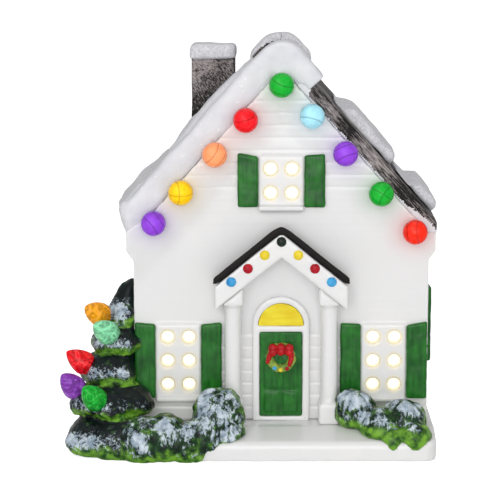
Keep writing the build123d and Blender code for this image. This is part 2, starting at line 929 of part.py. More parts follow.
def make_base_plate():
    """The plate with the battery tray, hinge holes, switch slot and board posts."""
    plate_front = opening_front - rebate_width + seal_width
    plate_back = opening_back + rebate_width - seal_width
    plate = rounded_plate(
        plate_half, plate_front, plate_back, plate_recess, plate_top, rebate_corner - seal_width
    )
    low = tray_shift - tray_half
    high = tray_shift + tray_half
    side = tray_side + tray_wall
    plate += block(low - tray_wall, high + tray_wall, -side, side, plate_recess, tray_top)
    plate -= block(low, high, -tray_side, tray_side, plate_recess, tray_ceiling)
    pin_hole = Rot(0, 90, 0) * Cylinder(
        hinge_pin_radius + hinge_pin_fit, 2 * (tray_half + hinge_pin_hold)
    )
    plate -= Pos(tray_shift, hinge_y, hinge_z) * pin_hole
    plate -= switch_slot()
    for place in cell_places()[:: cell_count - 1]:
        half = tab_width / 2 + tab_fit
        room = contact_thick / 2 + tab_fit
        plate -= block(
            high, high + tray_wall, place - half, place + half, cell_height - room, cell_height + room
        )
    for place in board_hole_places():
        plate += Pos(place, 0, tray_top + post_height / 2) * Cylinder(post_radius, post_height)
        plate -= Pos(place, 0, board_base - screw_depth / 2) * Cylinder(
            screw_radius + screw_fit, screw_depth
        )
    return plate


def make_silicone_seal():
    """The bead that fills the joint between the plate and the slab."""
    outer = rounded_plate(
        opening_half + rebate_width,
        opening_front - rebate_width,
        opening_back + rebate_width,
        plate_recess,
        plate_top,
        rebate_corner,
    )
    inner = rounded_plate(
        plate_half,
        opening_front - rebate_width + seal_width,
        opening_back + rebate_width - seal_width,
        plate_recess,
        plate_top,
        rebate_corner - seal_width,
    )
    return outer - inner


def make_battery_door():
    """The hatch: a flat leaf with a hinge barrel, a latch nib and finger ribs."""
    low = tray_shift - tray_half + door_gap
    high = tray_shift + tray_half - door_gap
    edge = tray_side - door_gap
    top = plate_recess + hatch_thick
    leaf = block(low, high, hinge_y, edge, plate_recess, top)
    leaf += Pos(tray_shift, hinge_y, hinge_z) * Rot(0, 90, 0) * Cylinder(hinge_radius, high - low)
    nib_back = tray_side - latch_gap - door_gap
    leaf += block(
        tray_shift - latch_width / 2,
        tray_shift + latch_width / 2,
        nib_back - latch_thick,
        nib_back,
        top,
        top + latch_rise,
    )
    for number in range(grip_rib_count):
        rib = edge - grip_margin - number * grip_rib_pitch
        leaf -= block(
            tray_shift - grip_length / 2,
            tray_shift + grip_length / 2,
            rib - grip_rib_width,
            rib,
            plate_recess,
            plate_recess + grip_rib_depth,
        )
    bore = Rot(0, 90, 0) * Cylinder(hinge_pin_radius + hinge_pin_fit, 2 * tray_half)
    return leaf - Pos(tray_shift, hinge_y, hinge_z) * bore


def make_hinge_pin():
    length = 2 * (tray_half + hinge_pin_hold)
    return Pos(tray_shift, hinge_y, hinge_z) * Rot(0, 90, 0) * Cylinder(hinge_pin_radius, length)


# Cells, contacts, light board, switch and leads


def make_cell(turn):
    """A cell lying along X, its nub to the right or, turned, to the left."""
    middle = -cell_nub_length / 2
    cell = Pos(middle, 0, 0) * Rot(0, 90, 0) * Cylinder(cell_diameter / 2, cell_length)
    nub_place = cell_full / 2 - cell_nub_length / 2
    cell += Pos(nub_place, 0, 0) * Rot(0, 90, 0) * Cylinder(cell_nub_radius, cell_nub_length)
    return Rot(0, 0, turn) * cell


def make_battery_cells():
    cells = []
    for number, place in enumerate(cell_places()):
        cells.append(Pos(tray_shift, place, cell_height) * make_cell(180 * (number % 2)))
    return Compound(children=cells)


def make_contact(side, place, has_tab):
    """A plate on the tray's end wall with a bowed leaf that bears on the cell."""
    wall = tray_half
    half = contact_size / 2
    plate = block(
        wall - contact_thick, wall, -half, half, cell_height - half, cell_height + half
    )
    reach = cell_full / 2
    spring_half = contact_spring_size / 2
    foot = wall - contact_thick
    outer = ThreePointArc(
        (foot, cell_height - spring_half), (reach, cell_height), (foot, cell_height + spring_half)
    )
    inner = ThreePointArc(
        (foot, cell_height + spring_half - contact_thick),
        (reach + contact_thick, cell_height),
        (foot, cell_height - spring_half + contact_thick),
    )
    close_low = Line(inner @ 1, outer @ 0)
    close_high = Line(outer @ 1, inner @ 0)
    face = make_face(Plane.XZ * (outer + close_high + inner + close_low))
    leaf = Pos(0, spring_half / 2, 0) * extrude(face, amount=spring_half, dir=(0, -1, 0))
    contact = plate + leaf
    if has_tab:
        tab_out = wall + tray_wall + tab_reach
        tab_half = tab_width / 2
        low = cell_height - contact_thick / 2
        contact += block(wall - contact_thick, tab_out, -tab_half, tab_half, low, low + contact_thick)
    if side < 0:
        contact = mirror(contact, Plane.YZ)
    return Pos(tray_shift, place, 0) * contact


def make_battery_contacts():
    contacts = []
    places = cell_places()
    for place in places:
        is_outer = place in (places[0], places[-1])
        contacts.append(make_contact(1, place, is_outer))
        contacts.append(make_contact(-1, place, False))
    return Compound(children=contacts)


def make_light_board():
    half = board_length / 2
    board = block(
        tray_shift - half, tray_shift + half, -board_width / 2, board_width / 2, board_base, board_top
    )
    for place in board_hole_places():
        hole = Cylinder(screw_radius + board_hole_fit, 2 * board_thick)
        board -= Pos(place, 0, board_base + board_thick / 2) * hole
    return board


def make_leds():
    """Domed lamps standing in a row on the board."""
    shoulder = led_flange_height + led_straight
    points = [
        (0, 0),
        (led_flange_radius, 0),
        (led_flange_radius, led_flange_height),
        (led_radius, led_flange_height),
        (led_radius, shoulder),
    ]
    corner = led_radius * sqrt(0.5)
    lamps = []
    for number in range(led_count):
        crown = ThreePointArc(points[-1], (corner, shoulder + corner), (0, shoulder + led_radius))
        lamp = turned(points, crown)
        place = tray_shift + (number - (led_count - 1) / 2) * led_pitch
        lamps.append(Pos(place, 0, board_top) * lamp)
    return Compound(children=lamps)


def make_board_screws():
    screws = []
    for place in board_hole_places():
        shank = screw_depth + board_thick
        screw = Pos(0, 0, -shank / 2) * Cylinder(screw_radius, shank)
        screw += Pos(0, 0, screw_head_height / 2) * Cylinder(screw_head_radius, screw_head_height)
        screws.append(Pos(place, 0, board_top) * screw)
    return Compound(children=screws)


def make_switch_body():
    """The switch case over the slot, hollow for the sliding carriage."""
    middle = switch_place + switch_travel / 2
    top = plate_top + switch_height
    half = switch_width / 2
    case = block(middle - switch_length / 2, middle + switch_length / 2, -half, half, plate_top, top)
    room = carriage_length / 2 + switch_travel / 2 + switch_gap
    room_side = carriage_width / 2 + switch_gap
    return case - block(
        middle - room, middle + room, -room_side, room_side, plate_top, top - switch_roof
    )


def make_switch_knob():
    """The carriage inside the case and the knob that reaches down through the slot."""
    low = plate_top + switch_gap
    carriage = block(
        switch_place - carriage_length / 2,
        switch_place + carriage_length / 2,
        -carriage_width / 2,
        carriage_width / 2,
        low,
        low + carriage_height,
    )
    knob = block(
        switch_place - knob_length / 2,
        switch_place + knob_length / 2,
        -knob_width / 2,
        knob_width / 2,
        plate_recess + knob_recess,
        low,
    )
    return carriage + knob


def make_lead(points):
    """An insulated wire: straight runs joined by round bends."""
    path = FilletPolyline(*points, radius=lead_bend)
    section = Plane(origin=path @ 0, z_dir=path % 0) * Circle(lead_radius)
    return sweep(section, path)


def make_battery_lead():
    """From the battery tab to the board, arched over its end."""
    place = cell_places()[0]
    crest = board_top + lead_arch
    pad = tray_shift + board_length / 2 - board_hole_margin / 2
    side = -board_width / 4
    return make_lead(
        [
            (tab_end, place, cell_height),
            (lead_turn, place, cell_height),
            (lead_turn, place, crest),
            (pad, side, crest),
            (pad, side, board_top),
        ]
    )


def make_switch_lead():
    """From the switch to the board, arched over its end."""
    rise = plate_top + switch_height
    crest = board_top + lead_arch
    pad = tray_shift + board_length / 2 - board_hole_margin / 2
    side = board_width / 4
    start = switch_place + switch_travel
    return make_lead([(start, 0, rise), (start, 0, crest), (pad, side, crest), (pad, side, board_top)])


def make_feed_lead():
    """From the other battery tab to the switch's side."""
    place = cell_places()[-1]
    level = plate_top + switch_height / 2
    side = switch_width / 2
    return make_lead(
        [
            (tab_end, place, cell_height),
            (lead_turn, place, cell_height),
            (switch_place, (place + side) / 2 + lead_bend, level),
            (switch_place, side, level),
        ]
    )


def make_parts():
    """Every node's name and its solid."""
    parts = {
        "snow_base": make_snow_base(),
        "house_walls": make_house_walls(),
        "roof": make_roof(),
        "roof_snow": make_roof_snow(),
        "chimney": make_chimney(),
        "chimney_snow": make_chimney_snow(),
        "hood_roof": make_hood_roof(),
        "hood_gable": make_hood_gable(),
        "hood_beads": make_hood_beads(),
        "porch_column_left": make_column(-1),
        "porch_column_right": make_column(1),
        "door_casing": make_door_casing(),
        "fanlight": make_fanlight(),
        "front_door": make_front_door(),
        "door_wreath": make_door_wreath(),
        "wreath_bow": make_wreath_bow(),
        "window_films": make_window_films(),
        "christmas_tree": make_christmas_tree(),
        "base_plate": make_base_plate(),
        "silicone_seal": make_silicone_seal(),
        "battery_door": make_battery_door(),
        "hinge_pin": make_hinge_pin(),
        "battery_cells": make_battery_cells(),
        "battery_contacts": make_battery_contacts(),
        "light_board": make_light_board(),
        "leds": make_leds(),
        "board_screws": make_board_screws(),
        "switch_body": make_switch_body(),
        "switch_knob": make_switch_knob(),
        "lead_battery": make_battery_lead(),
        "lead_switch": make_switch_lead(),
        "lead_feed": make_feed_lead(),
    }
    for name, (plane, rows) in windows.items():
        for side, word in ((-1, "a"), (1, "b")):
            parts[f"shutter_{name}_{word}"] = make_shutter(plane, rows, side)
    for name, (across, up) in globe_seats().items():
        parts[name] = make_globe_light(across, up)
    for number, (word, tier) in enumerate(flame_tiers.items()):
        parts[f"tree_light_{word}"] = flame_plane(number, tier).location * make_flame()
    slab_and_walls = [make_slab_block(), parts["house_walls"], make_house_walls_block()]
    left_neighbours = slab_and_walls + [
        parts["christmas_tree"],
        parts["porch_column_left"],
        parts["shutter_lower_left_a"],
        parts["shutter_lower_left_b"],
    ]
    right_neighbours = slab_and_walls + [
        parts["porch_column_right"],
        parts["shutter_lower_right_a"],
        parts["shutter_lower_right_b"],
    ]
    parts["left_hedge"] = make_left_hedge(left_neighbours)
    parts["right_bush"] = make_right_bush(right_neighbours)
    return parts


os.makedirs("parts", exist_ok=True)
for name, shape in make_parts().items():
    export_step(shape, f"parts/{name}.step")
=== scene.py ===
from math import asin, atan2, copysign, cos, exp, pi, radians, sin

import bmesh
import bpy
from mathutils import Matrix, Vector, noise


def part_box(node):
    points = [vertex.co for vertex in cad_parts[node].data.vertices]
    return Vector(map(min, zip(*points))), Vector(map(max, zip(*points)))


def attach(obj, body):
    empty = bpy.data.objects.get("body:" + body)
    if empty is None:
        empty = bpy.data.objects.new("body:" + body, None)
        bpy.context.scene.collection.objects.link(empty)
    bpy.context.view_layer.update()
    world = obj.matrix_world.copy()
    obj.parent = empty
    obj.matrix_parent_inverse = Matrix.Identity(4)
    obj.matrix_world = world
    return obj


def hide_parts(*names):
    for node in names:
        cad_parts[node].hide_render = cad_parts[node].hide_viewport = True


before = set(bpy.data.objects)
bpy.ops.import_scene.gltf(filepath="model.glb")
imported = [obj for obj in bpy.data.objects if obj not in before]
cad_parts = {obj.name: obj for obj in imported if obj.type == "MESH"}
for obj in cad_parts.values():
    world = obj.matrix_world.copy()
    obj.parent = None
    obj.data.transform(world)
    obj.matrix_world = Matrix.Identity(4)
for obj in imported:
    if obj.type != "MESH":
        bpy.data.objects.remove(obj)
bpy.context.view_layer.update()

# Sizes are in millimetres and become metres through MM.
MM = 0.001

# The photograph's camera: its height angle, how far it stands and what it looks at.
camera_rise = 9.5
camera_turn = 0.0
camera_distance = 1000.0
camera_lens = 160.0
camera_target = (-14.0, -46.0, 90.3)

# Walls and windows, as the castings are laid out
wall_front = -46.0
wall_half = 66.5
slab_top = 12.0
slab_front = -66.0
pane_across = 4.8
pane_pitch_up = 10.9
pane_first_up = 5.85
pane_radius = 2.8
front_windows = ((0.0, 110.4, 2), (-46.5, 22.8, 3), (46.5, 22.8, 3))

# Painted lamplight on the wall round a globe and a pane: how far it spreads, its share, and the warm tint of
# a pane
globe_glow_spread = 8.2
globe_glow_share = 0.55
pane_glow_spread = 1.3
pane_glow_share = 0.6
pane_glow = (1.0, 0.86, 0.52)
glow_depth = 4.0
glow_reach = 22.0
glow_least = 0.001
glow_most = 0.7

# Under the roof: the gable melts forward into the snow's edge, and the side walls swell below the eaves.
cove_depth = 24.0
cove_left = 4.0
cove_right = 1.2
cove_end = 26.0
cove_fade = 18.0
swell_reach = 3.2
swell_foot = 85.0
swell_rise = 6.0
swell_start = 57.0
eave_lift = 1.3
eave_lift_foot = 92.0
eave_lift_rise = 5.0

# Roof, and the slip that has run over its front edge
roof_pitch = 48.3
ridge_height = 182.0
roof_thick = 6.4
slip_reach = 12.0
slip_start = 4.0
slip_left_length = 97.0
slip_right_length = 12.0
slip_step = 1.5
slip_radius = 3.2
slip_depth = 3.6
slip_front = -46.6
slip_drips = ((-68.5, 108.8, 4.8), (-67.4, 105.6, 5.0), (-66.8, 102.2, 4.4), (0.0, 170.6, 4.8))
slip_drip_deep = -45.6

# The roof's lowest edge, and the dark strip along its front, thinner toward the right tip
eave_trim = 98.6
fascia_strip = 5.6
fascia_tip = 3.0
fascia_tip_start = 52.0
fascia_tip_run = 17.0

# Snow behind the left front edge, and how far the banks' edges drift
blanket_start = 18.0
blanket_end = 68.0
blanket_step = 2.5
blanket_radius = 5.0
blanket_rows = (-40.0, -36.0, -32.0, -28.0)
blanket_lift = 7.8
blanket_fall = 1.5
blanket_head = 12.0
blanket_bend = 52.0
bank_front = -44.0
drift_fade = 12.0
drift_size = 13.0
drift_down = 1.6
drift_across = 4.5

# The upper end of each bank: its side, where it begins, where it starts to rise and over what run, its height
# before that and its full height
bank_ends = (
    (-1, 72.0, 81.0, 10.0, 4.5, 6.3),
    (1, 30.0, 38.5, 8.0, 0.8, 5.6),
    (1, 76.0, 86.0, 4.5, 1.2, 5.6),
)

# The bank on the ridge with the painted shade under its front edge, and the height over which the chimney is
# dusted
ridge_bank_front = -30.6
ridge_bank_top = 186.4
ridge_bank_bend = 22.0
ridge_shade_drop = 3.0
ridge_bank_skew = 0.06
ridge_bank_skin = 2.0
chimney_dust = (148.0, 180.0)

# Hood: how far apart its dots stand, and how its strip is thinned, sloped, trimmed and rounded
bead_step = 7.46
hood_thinning = 0.6
hood_fall = 0.24
hood_lip = 1.5
hood_trim = 2.4
hood_round = 1.3
hood_round_half = 5.0

# Wreath: its berries, and the bow as drops given across and up from the ring's middle, with a radius
berry_angles = (238, 268, 300)
berry_radius = 1.0
berry_ring = 0.40
berry_sink = 0.3
bow_sink = 0.4
bow_drops = (
    (-3.7, 4.6, 2.1),
    (-3.7, 2.9, 2.1),
    (0.0, 4.9, 2.1),
    (0.0, 3.2, 2.1),
    (3.7, 4.6, 2.1),
    (3.7, 2.9, 2.1),
    (-5.0, 1.2, 1.3),
    (-5.5, -0.3, 1.2),
    (-6.0, -1.7, 1.0),
    (4.7, 1.2, 1.4),
    (4.6, -0.4, 1.3),
    (4.2, -1.9, 1.2),
    (3.8, -3.2, 1.0),
)

# Tree: each tier's middle across and deep, its foot and its radius, and how far the top leans to the wall
tree_tiers = (
    (-78.5, -55.0, 0.0, 19.3),
    (-76.2, -50.9, 17.0, 19.0),
    (-77.6, -46.7, 30.4, 13.2),
    (-74.1, -42.6, 43.7, 12.4),
    (-72.3, -38.4, 55.2, 8.8),
)
tier_cushion = (
    (0.0, 0.0),
    (0.66, -0.05),
    (0.90, 0.04),
    (1.0, 0.24),
    (0.98, 0.45),
    (0.88, 0.68),
    (0.68, 0.90),
    (0.38, 1.08),
    (0.0, 1.15),
)
tree_crown = (
    (0.0, -0.05),
    (0.75, -0.05),
    (0.96, 0.02),
    (1.0, 0.14),
    (0.96, 0.30),
    (0.69, 0.62),
    (0.44, 0.90),
    (0.0, 1.0),
)
crown_height = 21.0
crown_foot = 56.0
crown_lean = 0.24
tree_skirt = (-71.0, -63.0, 0.0, 13.0)
tree_core = ((0.0, 2.0), (7.6, 2.0), (6.4, 40.0), (4.6, 62.0), (0.0, 66.0))
tree_core_place = (-71.6, -43.5, 0.0)

# Lobes and moss round the rim of each tier, and the shrubs
tier_lobes = 5
lobe_turn = 1.9
lobe_spread = 0.06
lobe_droop = 0.9
lobe_height = 8.0
tier_edge = 0.3
rim_rise = 1.6
rim_reach = 2.5
rim_reach_low = 4.6
shrub_settle = 4.0
bush_frost = 0.22

# Waver of hand-finished clay: layers of noise, each a height, a size and a seed
white_waver = ((0.18, 16, 3.0), (0.06, 5, 7.0))
wall_waver = ((0.15, 22, 1.0),)
roof_waver = ((0.35, 14, 2.0), (0.12, 3, 5.0))
snow_drifts = ((0.8, 17, 4.0), (0.3, 6, 9.0), (0.08, 1.6, 2.0))
chimney_waver = ((0.3, 9, 6.0), (0.12, 1.8, 8.0))
hood_waver = ((0.2, 8, 2.0),)
shutter_waver = ((0.22, 7, 0.0), (0.08, 2.5, 4.0))
door_waver = ((0.16, 5, 3.0), (0.07, 1.8, 5.0))
fanlight_waver = ((0.12, 4, 2.0),)
wreath_leaves = ((0.45, 1.7, 2.0), (0.2, 0.8, 6.0))
tree_folds = ((1.1, 11, 1.0), (0.5, 4, 3.0), (0.2, 1.7, 5.0))
shrub_clumps = ((1.3, 8.5, 2.0), (0.75, 3.6, 4.0))
shrub_leaves = ((0.3, 1.6, 6.0),)

# Peg lights: a globe on a neck, and a flame on a foot
peg_radius = 2.2
globe_peg = 7.0
globe_radius = 5.6
neck_radius = 3.2
neck_height = 1.9
globe_middle = 6.5
globe_rings = 44
seam_depth = 0.14
seam_width = 0.26
flame_peg = 5.0
flame_foot = ((4.0, 0.0), (4.0, 1.5))
flame_radius = 5.4
flame_waist = 5.2
flame_length = 15.5
ring_height = 0.16
ring_pitch = 1.45
ring_fade = 4.0
light_steps = 96

# Tree lights: the middle of the tier that carries each, its radius, then the light's rise and its angles
flame_seats = {
    "tree_light_amber": ((-72.3, -38.4, 55.2), 10.0, 2.6, 195.0, 226.0, 27.0),
    "tree_light_mint": ((-74.1, -42.6, 41.4), 12.5, 9.4, 263.0, 229.0, 31.0),
    "tree_light_red": ((-75.9, -46.7, 27.6), 15.5, 8.9, 206.0, 200.0, 36.0),
    "tree_light_purple": ((-77.7, -50.9, 13.8), 19.5, 11.5, 190.0, 224.0, 45.0),
    "tree_light_green": ((-77.7, -50.9, 13.8), 19.5, 8.7, 260.0, 227.0, 44.0),
}
tier_taper = 6.0 / 17.0
flame_seat_depth = 2.6

# Colours of the peg lights
light_colours = {
    "red": "#E8101C",
    "scarlet": "#F0250C",
    "green": "#0FA52C",
    "purple": "#8A3FD0",
    "yellow": "#FBC80A",
    "orange": "#FA9A66",
    "ice": "#A0D8E8",
    "amber": "#F2A012",
    "mint": "#86D8A6",
    "violet": "#8A3FB4",
}
globe_colours = {
    "globe_peak": ("green", "light_green"),
    "globe_left_1": ("red", "light_red"),
    "globe_left_2": ("orange", "light_orange"),
    "globe_left_3": ("yellow", "light_yellow"),
    "globe_left_4": ("purple", "light_purple"),
    "globe_right_1": ("ice", "light_ice"),
    "globe_right_2": ("purple", "light_purple"),
    "globe_right_3": ("green", "light_green"),
    "globe_right_4": ("scarlet", "light_red"),
}
flame_colours = {
    "tree_light_amber": ("amber", "light_orange"),
    "tree_light_mint": ("mint", "light_mint"),
    "tree_light_red": ("red", "light_red"),
    "tree_light_purple": ("violet", "light_purple"),
    "tree_light_green": ("green", "light_green"),
}


# Colour and node helpers


def linear(code):
    """An sRGB hex colour as linear red, green, blue and alpha."""
    channels = []
    for start in (1, 3, 5):
        value = int(code[start:start + 2], 16) / 255
        if value <= 0.04045:
            channels.append(value / 12.92)
        else:
            channels.append(((value + 0.055) / 1.055) ** 2.4)
    return (*channels, 1.0)


def per(size):
    """A texture scale that gives features of that size in millimetres."""
    return 1 / (size * MM)


def feed(tree, node, inputs):
    """Gives each named input of a node its value or its link."""
    for name, value in inputs.items():
        if isinstance(value, bpy.types.NodeSocket):
            tree.links.new(value, node.inputs[name])
        else:
            node.inputs[name].default_value = value


def add(tree, kind, inputs=None, **settings):
    """Adds a node, with its settings, and a value or a link for each named input."""
    node = tree.nodes.new(kind)
    for name, value in settings.items():
        setattr(node, name, value)
    feed(tree, node, inputs or {})
    return node


def start_material(name):
    """A new material: itself, its node tree, its surface shader and the place that patterns start from."""
    material = bpy.data.materials.new(name)
    material.use_nodes = True
    tree = material.node_tree
    place = add(tree, "ShaderNodeTexCoord").outputs["Object"]
    return material, tree, tree.nodes["Principled BSDF"], place


# Mesh helpers


def cad_copy(node):
    """The mesh of a CAD node as a bmesh, with its loose triangles merged."""
    copy = bmesh.new()
    copy.from_mesh(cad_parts[node].data)
    bmesh.ops.remove_doubles(copy, verts=copy.verts, dist=0.001 * MM)
    return copy


def fired(shape, voxel, passes, keep=1.0):
    """The shape with the soft edges that slip casting and glaze leave, at that voxel size."""
    mesh = bpy.data.meshes.new("fired")
    shape.to_mesh(mesh)
    shape.free()
    holder = bpy.data.objects.new("fired", mesh)
    bpy.context.scene.collection.objects.link(holder)
    remesh = holder.modifiers.new("remesh", "REMESH")
    remesh.mode = "VOXEL"
    remesh.voxel_size = voxel * MM
    relax = holder.modifiers.new("relax", "SMOOTH")
    relax.factor = 0.5
    relax.iterations = passes
    if keep < 1:
        thin = holder.modifiers.new("thin", "DECIMATE")
        thin.ratio = keep
    graph = bpy.context.evaluated_depsgraph_get()
    result = bmesh.new()
    result.from_object(holder, graph)
    bpy.data.objects.remove(holder)
    bpy.data.meshes.remove(mesh)
    result.normal_update()
    return result


def lump(point, size, seed):
    """Smooth noise from -1 to 1 with lumps of that size in millimetres."""
    return noise.noise(point / size + Vector((seed, 2.3 * seed, -1.7 * seed)))


def waver(layers, point):
    """The height at a point of several layers of noise, each a height, a size and a seed."""
    return sum(height * lump(point, size, seed) for height, size, seed in layers)


def raised(shape, height):
    """Moves each point along its normal by height(point), in millimetres."""
    moves = [(vert, vert.normal * (height(vert.co / MM) * MM)) for vert in shape.verts]
    for vert, move in moves:
        vert.co += move
    shape.normal_update()


def wavered(shape, layers):
    """Raises the shape by layers of noise."""
    raised(shape, lambda point: waver(layers, point))


def spun(points, steps):
    """A closed solid of revolution about Z from radius and height points, in millimetres."""
    shape = bmesh.new()
    verts = [shape.verts.new((radius * MM, 0.0, height * MM)) for radius, height in points]
    edges = [shape.edges.new(pair) for pair in zip(verts, verts[1:])]
    bmesh.ops.spin(
        shape, geom=verts + edges, axis=(0, 0, 1), cent=(0, 0, 0), angle=2 * pi, steps=steps, use_merge=True
    )
    bmesh.ops.remove_doubles(shape, verts=shape.verts, dist=0.005 * MM)
    bmesh.ops.recalc_face_normals(shape, faces=shape.faces)
    shape.normal_update()
    return shape


def joined(shapes):
    """Several bmeshes as one."""
    whole = bmesh.new()
    for shape in shapes:
        mesh = bpy.data.meshes.new("joined")
        shape.to_mesh(mesh)
        shape.free()
        whole.from_mesh(mesh)
        bpy.data.meshes.remove(mesh)
    return whole


def ball(place, radius):
    """A round drop, in millimetres."""
    shape = bmesh.new()
    bmesh.ops.create_icosphere(shape, subdivisions=3, radius=radius * MM)
    bmesh.ops.translate(shape, verts=shape.verts, vec=Vector(place) * MM)
    return shape


def finish_piece(name, shape, materials, nodes, body="house"):
    """Makes the piece's object, and gives it its finish, its body and the nodes that it stands for."""
    mesh = bpy.data.meshes.new(name)
    shape.to_mesh(mesh)
    shape.free()
    for polygon in mesh.polygons:
        polygon.use_smooth = True
    mesh.update()
    for material in materials:
        mesh.materials.append(material)
    piece = bpy.data.objects.new(name, mesh)
    bpy.context.scene.collection.objects.link(piece)
    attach(piece, body)
    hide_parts(*nodes)
    return piece


def mark_points(piece, name, marks):
    """Writes a colour attribute, with one colour for each point."""
    layer = piece.data.color_attributes.new(name, "FLOAT_COLOR", "POINT")
    for index, mark in enumerate(marks):
        layer.data[index].color = mark


def paint(piece, name, colour_at):
    """Writes a colour attribute from colour_at(point, normal), in millimetres."""
    mark_points(piece, name, [colour_at(vert.co / MM, vert.normal) for vert in piece.data.vertices])


def rest_on_table(shape):
    """Flattens what would lie under the table's top."""
    for vert in shape.verts:
        vert.co.z = max(vert.co.z, 0.0)


# Materials


def glazed_white_earthenware():
    """White casting slip under a clear glaze: bright, faintly uneven, wet-looking, with painted lamplight
    tinting it near a lamp.
    """
    material, tree, surface, place = start_material("glazed_white_earthenware")
    cloud = add(tree, "ShaderNodeTexNoise", {"Vector": place, "Scale": per(28), "Detail": 3.0})
    edge = add(tree, "ShaderNodeNewGeometry").outputs["Pointiness"]
    # Greyer in the creases.
    crease = add(
        tree, "ShaderNodeMapRange",
        {"Value": edge, "From Min": 0.40, "From Max": 0.50, "To Min": 1.0, "To Max": 0.0},
    )
    body = add(
        tree, "ShaderNodeMix", {0: cloud.outputs["Fac"], 6: linear("#E4E4E6"), 7: linear("#EDECEA")},
        data_type="RGBA",
    )
    creased_grey = add(
        tree, "ShaderNodeMix", {0: crease.outputs["Result"], 6: body.outputs[2], 7: linear("#CFCDCB")},
        data_type="RGBA",
    )
    lit = add(tree, "ShaderNodeAttribute", attribute_name="lamplight")
    # Painted lamplight: the wall's colour is tinted toward the lamp's colour by the lamplight attribute.
    lamp_painted = add(
        tree, "ShaderNodeMix", {0: lit.outputs["Alpha"], 6: creased_grey.outputs[2], 7: lit.outputs["Color"]},
        data_type="RGBA",
    )
    ripple = add(tree, "ShaderNodeTexNoise", {"Vector": place, "Scale": per(3.5), "Detail": 2.0})
    gloss = add(tree, "ShaderNodeMapRange", {"Value": cloud.outputs["Fac"], "To Min": 0.16, "To Max": 0.30})
    relief = add(
        tree, "ShaderNodeBump", {"Height": ripple.outputs["Fac"], "Strength": 0.25, "Distance": 0.12 * MM}
    )
    feed(tree, surface, {"Base Color": lamp_painted.outputs[2], "Roughness": gloss.outputs["Result"]})
    feed(tree, surface, {"Normal": relief.outputs["Normal"]})
    feed(tree, surface, {"IOR": 1.5, "Coat Weight": 0.25, "Coat Roughness": 0.08})
    return material


def brushed_glaze(name, deep, pale, streak_axis=2):
    """Coloured glaze laid on with a brush: streaks along the stroke, thin and pale on the edges."""
    material, tree, surface, place = start_material(name)
    stretch = [1.0, 1.0, 1.0]
    stretch[streak_axis] = 0.12
    along = add(tree, "ShaderNodeMapping", {"Vector": place, "Scale": stretch})
    streak = add(
        tree, "ShaderNodeTexNoise",
        {"Vector": along.outputs["Vector"], "Scale": per(1.6), "Detail": 4.0, "Roughness": 0.6},
    )
    pool = add(tree, "ShaderNodeTexNoise", {"Vector": place, "Scale": per(7), "Detail": 2.0})
    edge = add(tree, "ShaderNodeNewGeometry").outputs["Pointiness"]
    broken = add(tree, "ShaderNodeMapRange", {"Value": edge, "From Min": 0.50, "From Max": 0.62})
    mixed = add(
        tree, "ShaderNodeMath", {0: streak.outputs["Fac"], 1: pool.outputs["Fac"]}, operation="MULTIPLY"
    )
    shade = add(tree, "ShaderNodeMapRange", {"Value": mixed.outputs[0], "From Min": 0.08, "From Max": 0.42})
    thin = add(
        tree, "ShaderNodeMath", {0: broken.outputs["Result"], 1: 0.4, 2: shade.outputs["Result"]},
        operation="MULTIPLY_ADD", use_clamp=True,
    )
    colour = add(
        tree, "ShaderNodeMix", {0: thin.outputs[0], 6: linear(deep), 7: linear(pale)}, data_type="RGBA"
    )
    relief = add(
        tree, "ShaderNodeBump", {"Height": streak.outputs["Fac"], "Strength": 0.35, "Distance": 0.10 * MM}
    )
    feed(tree, surface, {"Base Color": colour.outputs[2], "Normal": relief.outputs["Normal"]})
    feed(tree, surface, {"Roughness": 0.25, "Specular IOR Level": 0.28})
    return material


def dry_brushed_stain(name, low, high, lean, stretch, dust):
    """Black-brown underglaze with grey dragged over it along the stroke, and snow dust on a high part."""
    material, tree, surface, place = start_material(name)
    along = add(
        tree,
        "ShaderNodeMapping",
        {"Vector": place, "Rotation": (0.0, radians(lean), 0.0), "Scale": (stretch, 1.0, 1.0)},
        vector_type="TEXTURE",
    )
    grain = add(
        tree, "ShaderNodeTexNoise",
        {"Vector": along.outputs["Vector"], "Scale": per(0.6), "Detail": 5.0, "Roughness": 0.75},
    )
    patch = add(tree, "ShaderNodeTexNoise", {"Vector": place, "Scale": per(17), "Detail": 2.0})
    edge = add(tree, "ShaderNodeNewGeometry").outputs["Pointiness"]
    proud = add(tree, "ShaderNodeMapRange", {"Value": edge, "From Min": 0.50, "From Max": 0.60})
    drag = add(
        tree, "ShaderNodeMath", {0: patch.outputs["Fac"], 1: 0.5, 2: grain.outputs["Fac"]},
        operation="MULTIPLY_ADD",
    )
    up = add(tree, "ShaderNodeSeparateXYZ", {"Vector": place})
    settled = add(
        tree,
        "ShaderNodeMapRange",
        {
            "Value": up.outputs["Z"],
            "From Min": chimney_dust[0] * MM,
            "From Max": chimney_dust[1] * MM,
            "To Min": -0.6 * dust,
            "To Max": dust,
        },
    )
    dragged = add(
        tree, "ShaderNodeMath", {0: drag.outputs[0], 1: settled.outputs["Result"]}, operation="ADD"
    )
    touched = add(
        tree, "ShaderNodeMapRange", {"Value": dragged.outputs[0], "From Min": low, "From Max": high}
    )
    dusted = add(
        tree, "ShaderNodeMath", {0: proud.outputs["Result"], 1: -0.6, 2: touched.outputs["Result"]},
        operation="MULTIPLY_ADD", use_clamp=True,
    )
    colour = add(
        tree, "ShaderNodeMix", {0: dusted.outputs[0], 6: linear("#120E0D"), 7: linear("#B3A9A8")},
        data_type="RGBA",
    )
    relief = add(
        tree, "ShaderNodeBump", {"Height": grain.outputs["Fac"], "Strength": 0.5, "Distance": 0.25 * MM}
    )
    feed(tree, surface, {"Base Color": colour.outputs[2], "Normal": relief.outputs["Normal"]})
    feed(tree, surface, {"Roughness": 0.5, "Specular IOR Level": 0.2})
    return material


